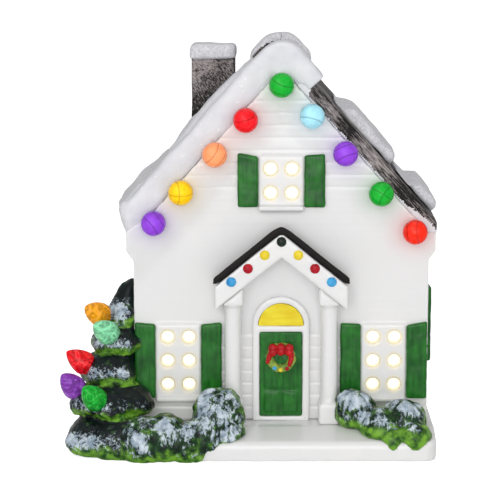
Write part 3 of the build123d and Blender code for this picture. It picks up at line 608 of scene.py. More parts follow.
def glitter_snow_slip():
    """Thick white slip with glitter in it: cool white and grainy, with flakes painted white as sparkles, and
    grey grit with painted shade behind the front edge.
    """
    material, tree, surface, place = start_material("glitter_snow_slip")
    cloud = add(tree, "ShaderNodeTexNoise", {"Vector": place, "Scale": per(9), "Detail": 4.0})
    grit = add(tree, "ShaderNodeTexNoise", {"Vector": place, "Scale": per(1.0), "Detail": 5.0})
    flake = add(tree, "ShaderNodeTexVoronoi", {"Vector": place, "Scale": per(0.8)})
    # Painted sparkles: random glitter cells painted white, and made glossy.
    painted_sparkle = add(
        tree, "ShaderNodeMapRange", {"Value": flake.outputs["Color"], "From Min": 0.90, "From Max": 0.96}
    )
    body = add(
        tree, "ShaderNodeMix", {0: cloud.outputs["Fac"], 6: linear("#CDCDD4"), 7: linear("#EBEBEE")},
        data_type="RGBA",
    )
    depth = add(tree, "ShaderNodeSeparateXYZ", {"Vector": place})
    # Grey grit only behind the front edge: partly dry-brushed grit, partly painted shade.
    shade_behind = add(
        tree, "ShaderNodeMapRange",
        {"Value": depth.outputs["Y"], "From Min": -45 * MM, "From Max": -36 * MM, "To Max": 0.36},
    )
    grit_and_shade = add(
        tree,
        "ShaderNodeMapRange",
        {
            "Value": grit.outputs["Fac"],
            "From Min": 0.60,
            "From Max": 0.36,
            "To Max": shade_behind.outputs["Result"],
        },
    )
    grit_shaded = add(
        tree, "ShaderNodeMix", {0: grit_and_shade.outputs["Result"], 6: body.outputs[2], 7: linear("#8C898F")},
        data_type="RGBA",
    )
    sparkle_painted = add(
        tree, "ShaderNodeMix", {0: painted_sparkle.outputs["Result"], 6: grit_shaded.outputs[2], 7: linear("#FFFFFF")},
        data_type="RGBA",
    )
    gloss = add(
        tree, "ShaderNodeMapRange", {"Value": painted_sparkle.outputs["Result"], "To Min": 0.45, "To Max": 0.08}
    )
    relief = add(
        tree, "ShaderNodeBump", {"Height": grit.outputs["Fac"], "Strength": 0.5, "Distance": 0.25 * MM}
    )
    feed(tree, surface, {"Base Color": sparkle_painted.outputs[2], "Roughness": gloss.outputs["Result"]})
    feed(tree, surface, {"Normal": relief.outputs["Normal"]})
    return material


def dry_brushed_evergreen(name, low, high, stretch, size):
    """Dark green glaze, moss green where it runs thin, with blue-white snow dragged over the high grain."""
    material, tree, surface, place = start_material(name)
    along = add(tree, "ShaderNodeMapping", {"Vector": place, "Scale": (1.0, 1.0, stretch)})
    mask = add(tree, "ShaderNodeAttribute", attribute_name="brushwork")
    split = add(tree, "ShaderNodeSeparateColor", {"Color": mask.outputs["Color"]})
    stroke = add(
        tree,
        "ShaderNodeTexNoise",
        {
            "Vector": along.outputs["Vector"],
            "Scale": per(size),
            "Detail": 6.0,
            "Roughness": 0.75,
            "Distortion": 0.5,
        },
    )
    brush = add(
        tree, "ShaderNodeMapRange", {"Value": stroke.outputs["Fac"], "From Min": 0.32, "From Max": 0.68}
    )
    mottle = add(tree, "ShaderNodeTexNoise", {"Vector": place, "Scale": per(3.2), "Detail": 4.0})
    shade = add(
        tree, "ShaderNodeMapRange", {"Value": mottle.outputs["Fac"], "From Min": 0.35, "From Max": 0.65}
    )
    dark = add(
        tree, "ShaderNodeMix", {0: shade.outputs["Result"], 6: linear(low), 7: linear(high)},
        data_type="RGBA",
    )
    leaf = add(
        tree, "ShaderNodeMix", {0: shade.outputs["Result"], 6: linear("#235A18"), 7: linear("#79AE35")},
        data_type="RGBA",
    )
    ice = add(
        tree, "ShaderNodeMix", {0: shade.outputs["Result"], 6: linear("#8A9DAC"), 7: linear("#D5DFEA")},
        data_type="RGBA",
    )
    moss_share = add(
        tree, "ShaderNodeMath", {0: shade.outputs["Result"], 1: 0.6, 2: split.outputs["Green"]},
        operation="MULTIPLY_ADD",
    )
    moss = add(
        tree, "ShaderNodeMapRange", {"Value": moss_share.outputs[0], "From Min": 0.52, "From Max": 1.20}
    )
    greened = add(
        tree, "ShaderNodeMix", {0: moss.outputs["Result"], 6: dark.outputs[2], 7: leaf.outputs[2]},
        data_type="RGBA",
    )
    frost_share = add(
        tree, "ShaderNodeMath", {0: brush.outputs["Result"], 1: split.outputs["Red"]}, operation="ADD"
    )
    frost = add(
        tree, "ShaderNodeMapRange", {"Value": frost_share.outputs[0], "From Min": 0.95, "From Max": 1.20}
    )
    frosted = add(
        tree, "ShaderNodeMix", {0: frost.outputs["Result"], 6: greened.outputs[2], 7: ice.outputs[2]},
        data_type="RGBA",
    )
    gloss = add(
        tree, "ShaderNodeMapRange", {"Value": frost.outputs["Result"], "To Min": 0.28, "To Max": 0.65}
    )
    relief = add(
        tree, "ShaderNodeBump", {"Height": stroke.outputs["Fac"], "Strength": 0.5, "Distance": 0.3 * MM}
    )
    feed(tree, surface, {"Base Color": frosted.outputs[2], "Roughness": gloss.outputs["Result"]})
    feed(tree, surface, {"Normal": relief.outputs["Normal"]})
    feed(tree, surface, {"Specular IOR Level": 0.25})
    return material


def lit_acrylic(name, code, facet, gloss):
    """Coloured clear acrylic with a lamp behind it: dark seams, painted bright threads and highlights for the
    light refracted in it.
    """
    material, tree, surface, place = start_material(name)
    swirl = add(
        tree, "ShaderNodeTexNoise", {"Vector": place, "Scale": per(2.4), "Detail": 3.0, "Distortion": 1.0}
    )
    bend = add(
        tree, "ShaderNodeTexNoise", {"Vector": place, "Scale": per(6.5), "Detail": 1.0, "Distortion": 2.2}
    )
    fold = add(tree, "ShaderNodeMath", {0: bend.outputs["Fac"], 1: 0.2}, operation="PINGPONG")
    lamp = add(tree, "ShaderNodeAttribute", attribute_name="glow")
    split = add(tree, "ShaderNodeSeparateColor", {"Color": lamp.outputs["Color"]})
    bright = linear(code)
    deep = [(0.34 - 0.28 * facet) * channel for channel in bright[:3]] + [1.0]
    seam = [0.25 * channel for channel in bright[:3]] + [1.0]
    # Painted highlight: a lighter colour mixed in where the glow attribute's green marks it.
    painted_highlight = [min(1.0, 1.15 * channel + 0.03) for channel in bright[:3]] + [1.0]
    pale = [0.80 * channel + 0.10 for channel in bright[:3]] + [1.0]
    # Random cloud, with the glow attribute's red painting the front brighter; the folds add painted light and
    # dark zones of refraction.
    cloud_and_glow = add(
        tree, "ShaderNodeMath", {0: swirl.outputs["Fac"], 1: 0.6, 2: split.outputs["Red"]},
        operation="MULTIPLY_ADD",
    )
    tilted = add(
        tree, "ShaderNodeMath", {0: fold.outputs[0], 1: 5.0 * facet, 2: cloud_and_glow.outputs[0]},
        operation="MULTIPLY_ADD",
    )
    share = add(
        tree, "ShaderNodeMapRange", {"Value": tilted.outputs[0], "From Min": 0.25, "From Max": 1.05}
    )
    body = add(tree, "ShaderNodeMix", {0: share.outputs["Result"], 6: deep, 7: bright}, data_type="RGBA")
    highlighted = add(
        tree, "ShaderNodeMix", {0: split.outputs["Green"], 6: body.outputs[2], 7: painted_highlight}, data_type="RGBA"
    )
    # Painted glints: thin pale threads along the folds of a noise, for light refracted in the acrylic.
    glint_thread = add(
        tree, "ShaderNodeMapRange",
        {"Value": fold.outputs[0], "From Min": 0.16, "From Max": 0.2, "To Min": 0.0, "To Max": facet},
    )
    glint_threaded = add(
        tree, "ShaderNodeMix", {0: glint_thread.outputs["Result"], 6: highlighted.outputs[2], 7: pale},
        data_type="RGBA",
    )
    # Blue darkens the moulded seams on a globe, and paints shade into the ring grooves of a flame.
    colour = add(
        tree, "ShaderNodeMix", {0: split.outputs["Blue"], 6: glint_threaded.outputs[2], 7: seam}, data_type="RGBA"
    )
    relief = add(
        tree, "ShaderNodeBump", {"Height": fold.outputs[0], "Strength": 0.5 * facet, "Distance": 1.0 * MM}
    )
    feed(tree, surface, {"Base Color": colour.outputs[2], "Emission Color": colour.outputs[2]})
    feed(tree, surface, {"Normal": relief.outputs["Normal"]})
    feed(tree, surface, {"Emission Strength": 0.32, "Roughness": 0.08, "Specular IOR Level": gloss})
    return material


def moulded(name, code, size, roughness, height, metallic=0.0):
    """A plain moulded or drawn part: one colour, faintly mottled, with the fine grain of its tool."""
    material, tree, surface, place = start_material(name)
    grain = add(tree, "ShaderNodeTexNoise", {"Vector": place, "Scale": per(size), "Detail": 3.0})
    body = linear(code)
    worn = [0.82 * channel for channel in body[:3]] + [1.0]
    colour = add(tree, "ShaderNodeMix", {0: grain.outputs["Fac"], 6: worn, 7: body}, data_type="RGBA")
    relief = add(
        tree, "ShaderNodeBump", {"Height": grain.outputs["Fac"], "Strength": 0.3, "Distance": height * MM}
    )
    feed(tree, surface, {"Base Color": colour.outputs[2], "Normal": relief.outputs["Normal"]})
    feed(tree, surface, {"Roughness": roughness, "Metallic": metallic})
    return material


def lit_frosted_acrylic():
    """Frosted sheet with lamps behind it: warm white light, a little stronger in patches."""
    material, tree, surface, place = start_material("lit_frosted_acrylic")
    patch = add(tree, "ShaderNodeTexNoise", {"Vector": place, "Scale": per(9), "Detail": 1.0})
    colour = add(
        tree, "ShaderNodeMix", {0: patch.outputs["Fac"], 6: linear("#FFF3CF"), 7: linear("#FFFBEA")},
        data_type="RGBA",
    )
    feed(tree, surface, {"Base Color": colour.outputs[2], "Emission Color": colour.outputs[2]})
    feed(tree, surface, {"Emission Strength": 0.78, "Roughness": 0.6})
    return material


white = glazed_white_earthenware()
green = brushed_glaze("brushed_green_glaze", "#0C4517", "#2A7C29")
yellow = brushed_glaze("brushed_yellow_glaze", "#E2C314", "#F4E53A", 0)
red = brushed_glaze("brushed_red_glaze", "#7C070D", "#DE1B24")
stain = dry_brushed_stain("dry_brushed_stain", 0.69, 0.93, roof_pitch, 8.0, 0.0)
stack_stain = dry_brushed_stain("dusted_stain", 0.69, 0.90, roof_pitch, 2.5, 0.16)
plain_stain = dry_brushed_stain("plain_dark_stain", 1.0, 1.4, roof_pitch, 6.0, 0.0)
snow = glitter_snow_slip()
evergreen = dry_brushed_evergreen("dry_brushed_evergreen", "#05090D", "#0D1F1E", 1.0, 1.4)
shrub_green = dry_brushed_evergreen("dry_brushed_shrub", "#08140F", "#1E4A20", 0.45, 2.0)
leafy = brushed_glaze("leafy_green_glaze", "#2A6A22", "#B4C45A")
ball_acrylics = {
    name: lit_acrylic(f"lit_acrylic_{name}", code, 0.14, 0.20) for name, code in light_colours.items()
}
flame_acrylics = {
    name: lit_acrylic(f"cut_acrylic_{name}", code, 0.55, 0.25) for name, code in light_colours.items()
}
bead_glazes = [
    brushed_glaze("dotted_dark_glaze", "#0A120E", "#1B2B20"),
    brushed_glaze("dotted_yellow_glaze", "#E5C21B", "#F7E548"),
    brushed_glaze("dotted_red_glaze", "#8E0A18", "#C5142A"),
    brushed_glaze("dotted_blue_glaze", "#1B80C4", "#55B8EC"),
]


# Ceramic castings


def lamp_spots():
    """Where lamplight is painted on the front wall: place across and up, bright radius, spread and colour."""
    spots = []
    for name, (colour, slot) in globe_colours.items():
        low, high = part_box(name)
        shade = [0.35 + 0.65 * channel for channel in linear(light_colours[colour])[:3]]
        middle = (low + high) / 2 / MM
        spots.append((middle.x, middle.z, 0.0, globe_glow_spread, globe_glow_share, shade))
    for across, base, rows in front_windows:
        for row in range(rows):
            for side in (-1, 1):
                x = across + side * pane_across
                z = base + pane_first_up + row * pane_pitch_up
                spots.append((x, z, pane_radius, pane_glow_spread, pane_glow_share, pane_glow))
    return spots


def lamplight(spots, point):
    """The painted lamplight at a point of the front wall: its tint, with its share as alpha."""
    total = Vector((0.0, 0.0, 0.0))
    weight = 0.0
    if point.y < wall_front + glow_depth:
        for x, z, radius, spread, strength, shade in spots:
            across = point.x - x
            up = point.z - z
            if abs(across) < glow_reach and abs(up) < glow_reach:
                distance = max((across * across + up * up) ** 0.5 - radius, 0.0)
                share = strength * exp(-((distance / spread) ** 2))
                total += share * Vector(shade)
                weight += share
    if weight < glow_least:
        return (1.0, 1.0, 1.0, 0.0)
    return (*(total / weight), min(weight, glow_most))


def make_white(name, node, voxel, passes, keep=1.0):
    """A white casting that follows its CAD node, with a hand-finished waver."""
    shape = fired(cad_copy(node), voxel, passes, keep)
    wavered(shape, white_waver)
    piece = finish_piece(name, shape, [white], [node])
    paint(piece, "lamplight", lambda point, normal: (1.0, 1.0, 1.0, 0.0))
    return piece


def soft_step(value):
    """A smooth rise from 0 at 0 to 1 at 1."""
    share = min(max(value, 0.0), 1.0)
    return share * share * (3 - 2 * share)


def roof_depth(point):
    """How deep a point lies under the roof's top face, square to the slope."""
    lean = radians(roof_pitch)
    return (ridge_height - point.z) * cos(lean) - abs(point.x) * sin(lean)


def flare_walls(shape):
    """Melts the gable forward into the snow's edge, and swells the side walls under the eaves."""
    for vert in shape.verts:
        point = vert.co / MM
        if vert.normal.y < -0.5 and point.y < wall_front + 2:
            reach = cove_right + (cove_left - cove_right) * soft_step((cove_end - point.x) / cove_fade)
            near = soft_step((cove_depth - roof_depth(point)) / (cove_depth - roof_thick))
            vert.co.y -= reach * near * MM
        outer = soft_step((abs(point.x) - swell_start) / (wall_half - swell_start))
        swell = outer * soft_step((point.z - swell_foot) / swell_rise)
        vert.co.x += copysign(swell_reach, point.x) * swell * MM
        vert.co.z += eave_lift * outer * soft_step((point.z - eave_lift_foot) / eave_lift_rise) * MM
    shape.normal_update()


def make_walls():
    """The hollow house body, with soft clapboards."""
    shape = fired(cad_copy("house_walls"), 0.62, 3, 0.3)
    flare_walls(shape)
    wavered(shape, wall_waver)
    piece = finish_piece("ceramic_walls", shape, [white], ["house_walls"])
    spots = lamp_spots()
    # Painted lamplight round each globe and each window pane.
    paint(piece, "lamplight", lambda point, normal: lamplight(spots, point))


def make_roof():
    """The slopes. Slip runs down over the left front edge, and over the right one near the peak."""
    shape = fired(cad_copy("roof"), 0.7, 4, 0.6)
    for vert in shape.verts:
        if abs(vert.co.x) > wall_half * MM:
            vert.co.z = max(vert.co.z, eave_trim * MM)
    wavered(shape, roof_waver)
    for face in shape.faces:
        middle = face.calc_center_median() / MM
        strip = fascia_strip - fascia_tip * soft_step((middle.x - fascia_tip_start) / fascia_tip_run)
        slipped = middle.x + 2.5 * lump(middle, 3.5, 1.0) < slip_reach
        below = roof_depth(middle) + 0.5 * lump(middle, 2.5, 4.0) > strip
        if middle.y < wall_front + 1 and (slipped or below):
            face.material_index = 1
    finish_piece("stained_roof", shape, [stain, snow], ["roof"])


def slope_point(side, run, depth, y):
    """A point by its run down one slope from the ridge and its depth under the roof's top face."""
    lean = radians(roof_pitch)
    across = run * cos(lean) - depth * sin(lean)
    return Vector((side * across, y, ridge_height - run * sin(lean) - depth * cos(lean)))


def slip_runs():
    """Slip that has run down over the front edge, as close-set drops along it."""
    drops = []
    for side, length in ((-1, slip_left_length), (1, slip_right_length)):
        for step in range(round(length / slip_step) + 1):
            run = slip_start + step * slip_step
            drops.append(ball(slope_point(side, run, slip_depth, slip_front), slip_radius))
    for across, up, radius in slip_drips:
        drops.append(ball((across, slip_drip_deep, up), radius))
    return drops


def blanket():
    """The snow behind the left front edge, as close-set drops, thinner toward the ridge and the eave."""
    drops = []
    for step in range(round((blanket_end - blanket_start) / blanket_step) + 1):
        run = blanket_start + step * blanket_step
        thin = soft_step((run - blanket_bend) / (blanket_end - blanket_bend))
        thin += 1 - soft_step((run - blanket_start) / blanket_head)
        lift = blanket_lift - blanket_fall * thin
        for y in blanket_rows:
            drops.append(ball(slope_point(-1, run, blanket_radius - lift, y), blanket_radius))
    return drops


def taper_banks(shape):
    """Thins the upper end of each bank, so that it rises out of the slope."""
    lean = radians(roof_pitch)
    for vert in shape.verts:
        point = vert.co / MM
        run = abs(point.x) * cos(lean) + (ridge_height - point.z) * sin(lean)
        over = 0.0
        for side, begin, start, rise, low, high in bank_ends:
            if side * point.x > 0 and point.y > bank_front and run > begin:
                over = -roof_depth(point) - low - (high - low) * soft_step((run - start) / rise)
        if over > 0:
            vert.co -= Vector((copysign(sin(lean), point.x), 0.0, cos(lean))) * over * MM
    shape.normal_update()


def waver_banks(shape):
    """Turns the banks' straight edges into drifts, by shifting them along the slope and across it."""
    lean = radians(roof_pitch)
    for vert in shape.verts:
        point = vert.co / MM
        share = soft_step((point.y - bank_front) / drift_fade)
        down = Vector((copysign(cos(lean), point.x), 0.0, -sin(lean)))
        vert.co += down * share * drift_down * lump(point, drift_size, 3.0) * MM
        vert.co.y += share * drift_across * lump(point, drift_size, 8.0) * MM
    shape.normal_update()


def make_roof_snow():
    """The banks on the roof. The one on the ridge has painted shade, a dark line in the roof's stain, under
    its front edge.
    """
    shape = fired(joined([cad_copy("roof_snow")] + slip_runs() + blanket()), 0.75, 14)
    taper_banks(shape)
    waver_banks(shape)
    wavered(shape, snow_drifts)
    # Painted shade: faces on the ridge bank's front, below its top edge, take the roof's dark stain.
    for face in shape.faces:
        middle = face.calc_center_median() / MM
        line = ridge_shade_drop + ridge_bank_skew * middle.x
        shade_top = ridge_bank_top - middle.x ** 2 / ridge_bank_bend - line
        near = abs(middle.y - ridge_bank_front) < ridge_bank_skin
        if near and face.normal.y < -0.5 and middle.z < shade_top:
            face.material_index = 1
    finish_piece("slip_roof_snow", shape, [snow, stain], ["roof_snow"])


def make_chimney_snow():
    shape = fired(cad_copy("chimney_snow"), 0.5, 8)
    wavered(shape, snow_drifts)
    finish_piece("slip_chimney_snow", shape, [snow], ["chimney_snow"])


def make_chimney():
    shape = fired(cad_copy("chimney"), 0.45, 4)
    wavered(shape, chimney_waver)
    finish_piece("stained_chimney", shape, [stack_stain], ["chimney"])


def make_hood():
    shape = fired(cad_copy("hood_roof"), 0.4, 45)
    raised(shape, lambda point: waver(hood_waver, point) - hood_thinning)
    low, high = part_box("hood_roof")
    for vert in shape.verts:
        vert.co.z -= hood_fall * max(0.0, vert.co.y - low.y - hood_lip * MM)
        vert.co.z -= hood_round * MM * max(0.0, 1 - abs(vert.co.x) / (hood_round_half * MM)) ** 2
        vert.co.z = max(vert.co.z, low.z + hood_trim * MM)
    finish_piece("stained_hood", shape, [plain_stain], ["hood_roof"])
    make_white("hood_band", "hood_gable", 0.4, 26)


def make_shutters():
    """Hand-cut leaves: none has quite square ends."""
    lean = {
        "shutter_upper_a": -0.16,
        "shutter_upper_b": 0.09,
        "shutter_lower_left_a": -0.08,
        "shutter_lower_left_b": 0.10,
        "shutter_lower_right_a": -0.06,
        "shutter_lower_right_b": 0.20,
    }
    names = [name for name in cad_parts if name.startswith("shutter_")]
    for number, name in enumerate(names):
        shape = fired(cad_copy(name), 0.4, 14)
        layers = [(height, size, seed + number) for height, size, seed in shutter_waver]
        wavered(shape, layers)
        low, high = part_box(name)
        middle = (low + high) / 2
        slope = lean.get(name, 0.0)
        for vert in shape.verts:
            upper = max(0.0, (vert.co.z - middle.z) / (high.z - middle.z))
            vert.co.z += slope * (vert.co.x - middle.x) * upper
        finish_piece(f"green_{name}", shape, [green], [name])


make_walls()
make_white("ceramic_slab", "snow_base", 0.9, 6)
make_white("ceramic_column_left", "porch_column_left", 0.45, 70)
make_white("ceramic_column_right", "porch_column_right", 0.45, 70)
make_white("ceramic_casing", "door_casing", 0.4, 18)
make_roof()
make_roof_snow()
make_chimney_snow()
make_chimney()
make_hood()
make_shutters()


# Door and its trimmings


def make_beads():
    """The painted dots along the hood, in colours that mirror from the middle one outward."""
    shape = fired(cad_copy("hood_beads"), 0.3, 3)
    for face in shape.faces:
        across = abs(face.calc_center_median().x) / MM
        face.material_index = min(round(across / bead_step), len(bead_glazes) - 1)
    finish_piece("dotted_beads", shape, bead_glazes, ["hood_beads"])


def make_door():
    """The leaf and the lunette over it, both brushed on by hand."""
    leaf = fired(cad_copy("front_door"), 0.35, 14)
    wavered(leaf, door_waver)
    finish_piece("green_door", leaf, [green], ["front_door"])
    light = fired(cad_copy("fanlight"), 0.3, 8)
    wavered(light, fanlight_waver)
    finish_piece("yellow_fanlight", light, [yellow], ["fanlight"])


def make_wreath():
    """A leafy ring with three berries at its foot, and a bow."""
    ring = fired(cad_copy("door_wreath"), 0.25, 3)
    wavered(ring, wreath_leaves)
    low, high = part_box("door_wreath")
    middle = (low + high) / 2 / MM
    front = low.y / MM
    reach = (high.x - low.x) / MM * berry_ring
    berries = []
    for number, angle in enumerate(berry_angles):
        turn = radians(angle)
        place = (middle.x + reach * cos(turn), front + berry_sink, middle.z + reach * sin(turn))
        berry = ball(place, berry_radius)
        for face in berry.faces:
            face.material_index = number + 1
        berries.append(berry)
    shape = joined([ring] + berries)
    glazes = [leafy, bead_glazes[3], bead_glazes[1], bead_glazes[2]]
    finish_piece("leafy_wreath", shape, glazes, ["door_wreath"])
    drops = []
    for across, up, radius in bow_drops:
        drops.append(ball((middle.x + across, front + bow_sink, middle.z + up), radius))
    bow = fired(joined(drops), 0.2, 3)
    finish_piece("red_bow", bow, [red], ["wreath_bow"])


make_beads()
make_door()
make_wreath()


# Peg lights


def globe_profile():
    """Peg, neck and ball, from the end inside the wall outward."""
    points = [
        (0.0, -globe_peg),
        (peg_radius, -globe_peg),
        (peg_radius, 0.0),
        (neck_radius, 0.0),
        (neck_radius, neck_height),
    ]
    first = asin(neck_radius / globe_radius)
    for step in range(globe_rings + 1):
        angle = first + (pi - first) * step / globe_rings
        points.append((globe_radius * sin(angle), globe_middle - globe_radius * cos(angle)))
    return points


def globe_seams(number):
    """The mould's seams on one globe: planes, each a direction and a share of the radius."""
    roll = Matrix.Rotation(radians(37 * number - 20), 3, "Z")
    bands = [(Vector((0.0, 0.95, 0.30)), 0.36)]
    if number % 2 == 0:
        bands.append((Vector((0.0, 0.95, 0.30)), -0.44))
    if number % 4 == 3:
        bands.append((Vector((0.98, 0.0, 0.2)), 0.05))
    return [(roll @ direction, share) for direction, share in bands]


def make_globe(number, name, colour):
    """One lit ball: its seams are pressed in, its front is painted brighter, and a painted highlight sits on
    it.
    """
    shape = spun(globe_profile(), light_steps)
    middle = Vector((0.0, 0.0, globe_middle))
    marks = []
    for vert in shape.verts:
        spoke = (vert.co / MM - middle).normalized()
        seam = 0.0
        if vert.co.z > neck_height * MM:
            for direction, share in globe_seams(number):
                off = (spoke.dot(direction) - share) * globe_radius
                seam = max(seam, exp(-((off / seam_width) ** 2)))
        vert.co -= spoke * (seam_depth * seam * MM)
        # Red paints the front brighter, green places the painted highlight, and blue marks the seams.
        front = max(spoke.z, 0.0)
        painted_highlight = exp(-(((spoke - Vector((-0.25, 0.45, 0.86))).length / 0.42) ** 2))
        marks.append((0.2 + 0.5 * front ** 0.7, 0.5 * painted_highlight, 0.6 * seam, 1.0))
    low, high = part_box(name)
    place = Vector(((low.x + high.x) / 2, wall_front * MM, (low.z + high.z) / 2))
    bmesh.ops.transform(
        shape, matrix=Matrix.Translation(place) @ Matrix.Rotation(radians(90), 4, "X"), verts=shape.verts
    )
    shape.normal_update()
    piece = finish_piece(f"lit_{name}", shape, [ball_acrylics[colour]], [name])
    mark_points(piece, "glow", marks)


def flame_profile():
    """Peg, foot and a belly that draws in to a point."""
    points = [(0.0, -flame_peg), (peg_radius, -flame_peg), (peg_radius, 0.0), *flame_foot]
    low_radius, low_height = flame_foot[-1]
    for step in range(1, 9):
        share = step / 8
        swell = soft_step(share)
        radius = low_radius + (flame_radius - low_radius) * swell
        points.append((radius, low_height + (flame_waist - low_height) * share))
    for step in range(1, 37):
        share = step / 36
        radius = flame_radius * max(0.0, 1 - share ** 1.8) ** 0.75
        points.append((radius, flame_waist + (flame_length - flame_waist) * share))
    return points


def make_flame(name, colour):
    """One tree light: rings above its foot, smooth and clear to its point."""
    shape = spun(flame_profile(), light_steps)
    marks = []
    for vert in shape.verts:
        height = vert.co.z / MM
        radius = (vert.co.x ** 2 + vert.co.y ** 2) ** 0.5 / MM
        fade = 1 - soft_step((height - ring_fade) / ring_fade)
        ring = fade * cos(2 * pi * height / ring_pitch) if height > flame_foot[-1][1] else 0.0
        if radius > 0.1:
            vert.co.x *= 1 + ring_height * ring / radius
            vert.co.y *= 1 + ring_height * ring / radius
        # Red paints the glow brighter above the rings; blue paints shade into the ring grooves.
        marks.append((0.05 + 0.2 * (1 - fade), 0.0, 0.5 * max(0.0, -ring) ** 2, 1.0))
    centre, radius, rise, seat_angle, aim_angle, tilt_angle = flame_seats[name]
    reach = radius - tier_taper * rise - flame_seat_depth
    seat = radians(seat_angle)
    place = Vector((centre[0] + reach * cos(seat), centre[1] + reach * sin(seat), centre[2] + rise))
    aim = radians(aim_angle)
    tilt = radians(tilt_angle)
    way = Vector((cos(aim) * cos(tilt), sin(aim) * cos(tilt), sin(tilt)))
    pose = Matrix.Translation(place * MM) @ way.to_track_quat("Z", "Y").to_matrix().to_4x4()
    bmesh.ops.transform(shape, matrix=pose, verts=shape.verts)
    shape.normal_update()
    piece = finish_piece(f"lit_{name}", shape, [flame_acrylics[colour]], [name])
    mark_points(piece, "glow", marks)


for number, (name, (colour, slot)) in enumerate(globe_colours.items()):
    make_globe(number, name, colour)
for name, (colour, slot) in flame_colours.items():
    make_flame(name, colour)


# Tree and shrubs


def tier_height(number):
    """How far a tier reaches up to the next one's foot, or the crown to its tip."""
    if number == len(tree_tiers) - 1:
        return crown_height
    return tree_tiers[number + 1][2] - tree_tiers[number][2]


def make_tier(number, across, deep, foot, radius):
    """One drooping cushion of the tree, with soft lobes round its rim."""
    profile = tree_crown if number == len(tree_tiers) - 1 else tier_cushion
    height = tier_height(number)
    shape = spun([(radius * share, height * rise) for share, rise in profile], 60)
    for vert in shape.verts:
        turn = atan2(vert.co.y, vert.co.x)
        lobe = cos(tier_lobes * turn + lobe_turn * number)
        spread = 1 + lobe_spread * lobe
        vert.co.x *= spread
        vert.co.y *= spread
        if number > 0:
            vert.co.z -= lobe_droop * lobe * MM * max(0.0, 1 - vert.co.z / (lobe_height * MM))
    bmesh.ops.translate(shape, verts=shape.verts, vec=Vector((across, deep, foot)) * MM)
    return shape


def tier_rise(point):
    """How far a point is over the drooping rim of its tier, and that tier's height."""
    number = sum(1 for across, deep, foot, radius in tree_tiers[1:] if point.z > foot - tier_edge)
    across, deep, foot, radius = tree_tiers[number]
    turn = atan2(point.y - deep, point.x - across)
    droop = lobe_droop * cos(tier_lobes * turn + lobe_turn * number) if number > 0 else 0.0
    return point.z - foot + droop * max(0.0, 1 - (point.z - foot) / lobe_height), tier_height(number)


def tree_brushwork(point, normal):
    """Snow dragged over the lower front of each tier, moss green on its rim, dark above."""
    rise, height = tier_rise(point)
    facing = max(0.0, normal.dot(Vector((-0.55, -0.80, 0.15))))
    middle, spread = (0.30, 0.34) if height == crown_height else (0.46, 0.27)
    band = exp(-(((rise / height - middle) / spread) ** 2))
    frost = band * (0.05 + 0.66 * facing) + 0.45 * lump(point, 7, 8.0) * band
    reach = rim_reach_low if point.z < tree_tiers[1][2] - tier_edge else rim_reach
    rim = exp(-(((rise - rim_rise) / reach) ** 2))
    moss = rim * (0.85 + 0.7 * lump(point, 9, 2.0) + 0.3 * lump(point, 4, 6.0))
    return (max(frost, 0.0), max(moss, 0.0), 0.0, 1.0)


def make_tree():
    core = spun(tree_core, 40)
    bmesh.ops.translate(core, verts=core.verts, vec=Vector(tree_core_place) * MM)
    skirt = make_tier(0, *tree_skirt)
    shape = joined([make_tier(number, *tier) for number, tier in enumerate(tree_tiers)] + [core, skirt])
    for vert in shape.verts:
        vert.co.x += crown_lean * max(0.0, vert.co.z - crown_foot * MM)
    rest_on_table(shape)
    shape = fired(shape, 0.6, 3)
    wavered(shape, tree_folds)
    rest_on_table(shape)
    piece = finish_piece("evergreen_tree", shape, [evergreen], ["christmas_tree"])
    paint(piece, "brushwork", tree_brushwork)


def shrub_foot(point):
    """The height of the ground under a shrub: the slab's top, or the table before it on the left."""
    return slab_top if point.x > 0 or point.y > slab_front else 0.0


def shrub_height(point):
    """Clumps and sprigs over the foot, and leaves all over."""
    settled = soft_step((point.z - shrub_foot(point)) / shrub_settle - 1)
    return settled * waver(shrub_clumps, point) + waver(shrub_leaves, point)


def shrub_brushwork(point, normal):
    """Blotches of snow on the front of the clumps, bright leaf green round their feet and sides."""
    facing = max(0.0, normal.dot(Vector((-0.1, -0.85, 0.5))))
    foot = max(0.0, point.z - shrub_foot(point))
    blotch = 0.60 + 0.9 * lump(point, 9, 5.0) + 0.30 * lump(point, 3.2, 1.0)
    if point.x > 0:
        blotch += bush_frost
    frost = facing * blotch * min(foot / 4, 1.0)
    moss = 0.85 * exp(-((foot / 3.4) ** 2)) + 0.70 * (1 - facing) + 0.30 * lump(point, 6, 9.0)
    return (max(frost, 0.0), max(moss, 0.0), 0.0, 1.0)


def make_shrub(name, node):
    shape = fired(cad_copy(node), 0.65, 8)
    raised(shape, shrub_height)
    rest_on_table(shape)
    piece = finish_piece(name, shape, [shrub_green], [node])
    paint(piece, "brushwork", shrub_brushwork)


make_tree()
make_shrub("evergreen_hedge", "left_hedge")
make_shrub("evergreen_bush", "right_bush")


# Light unit: these parts keep their CAD shapes


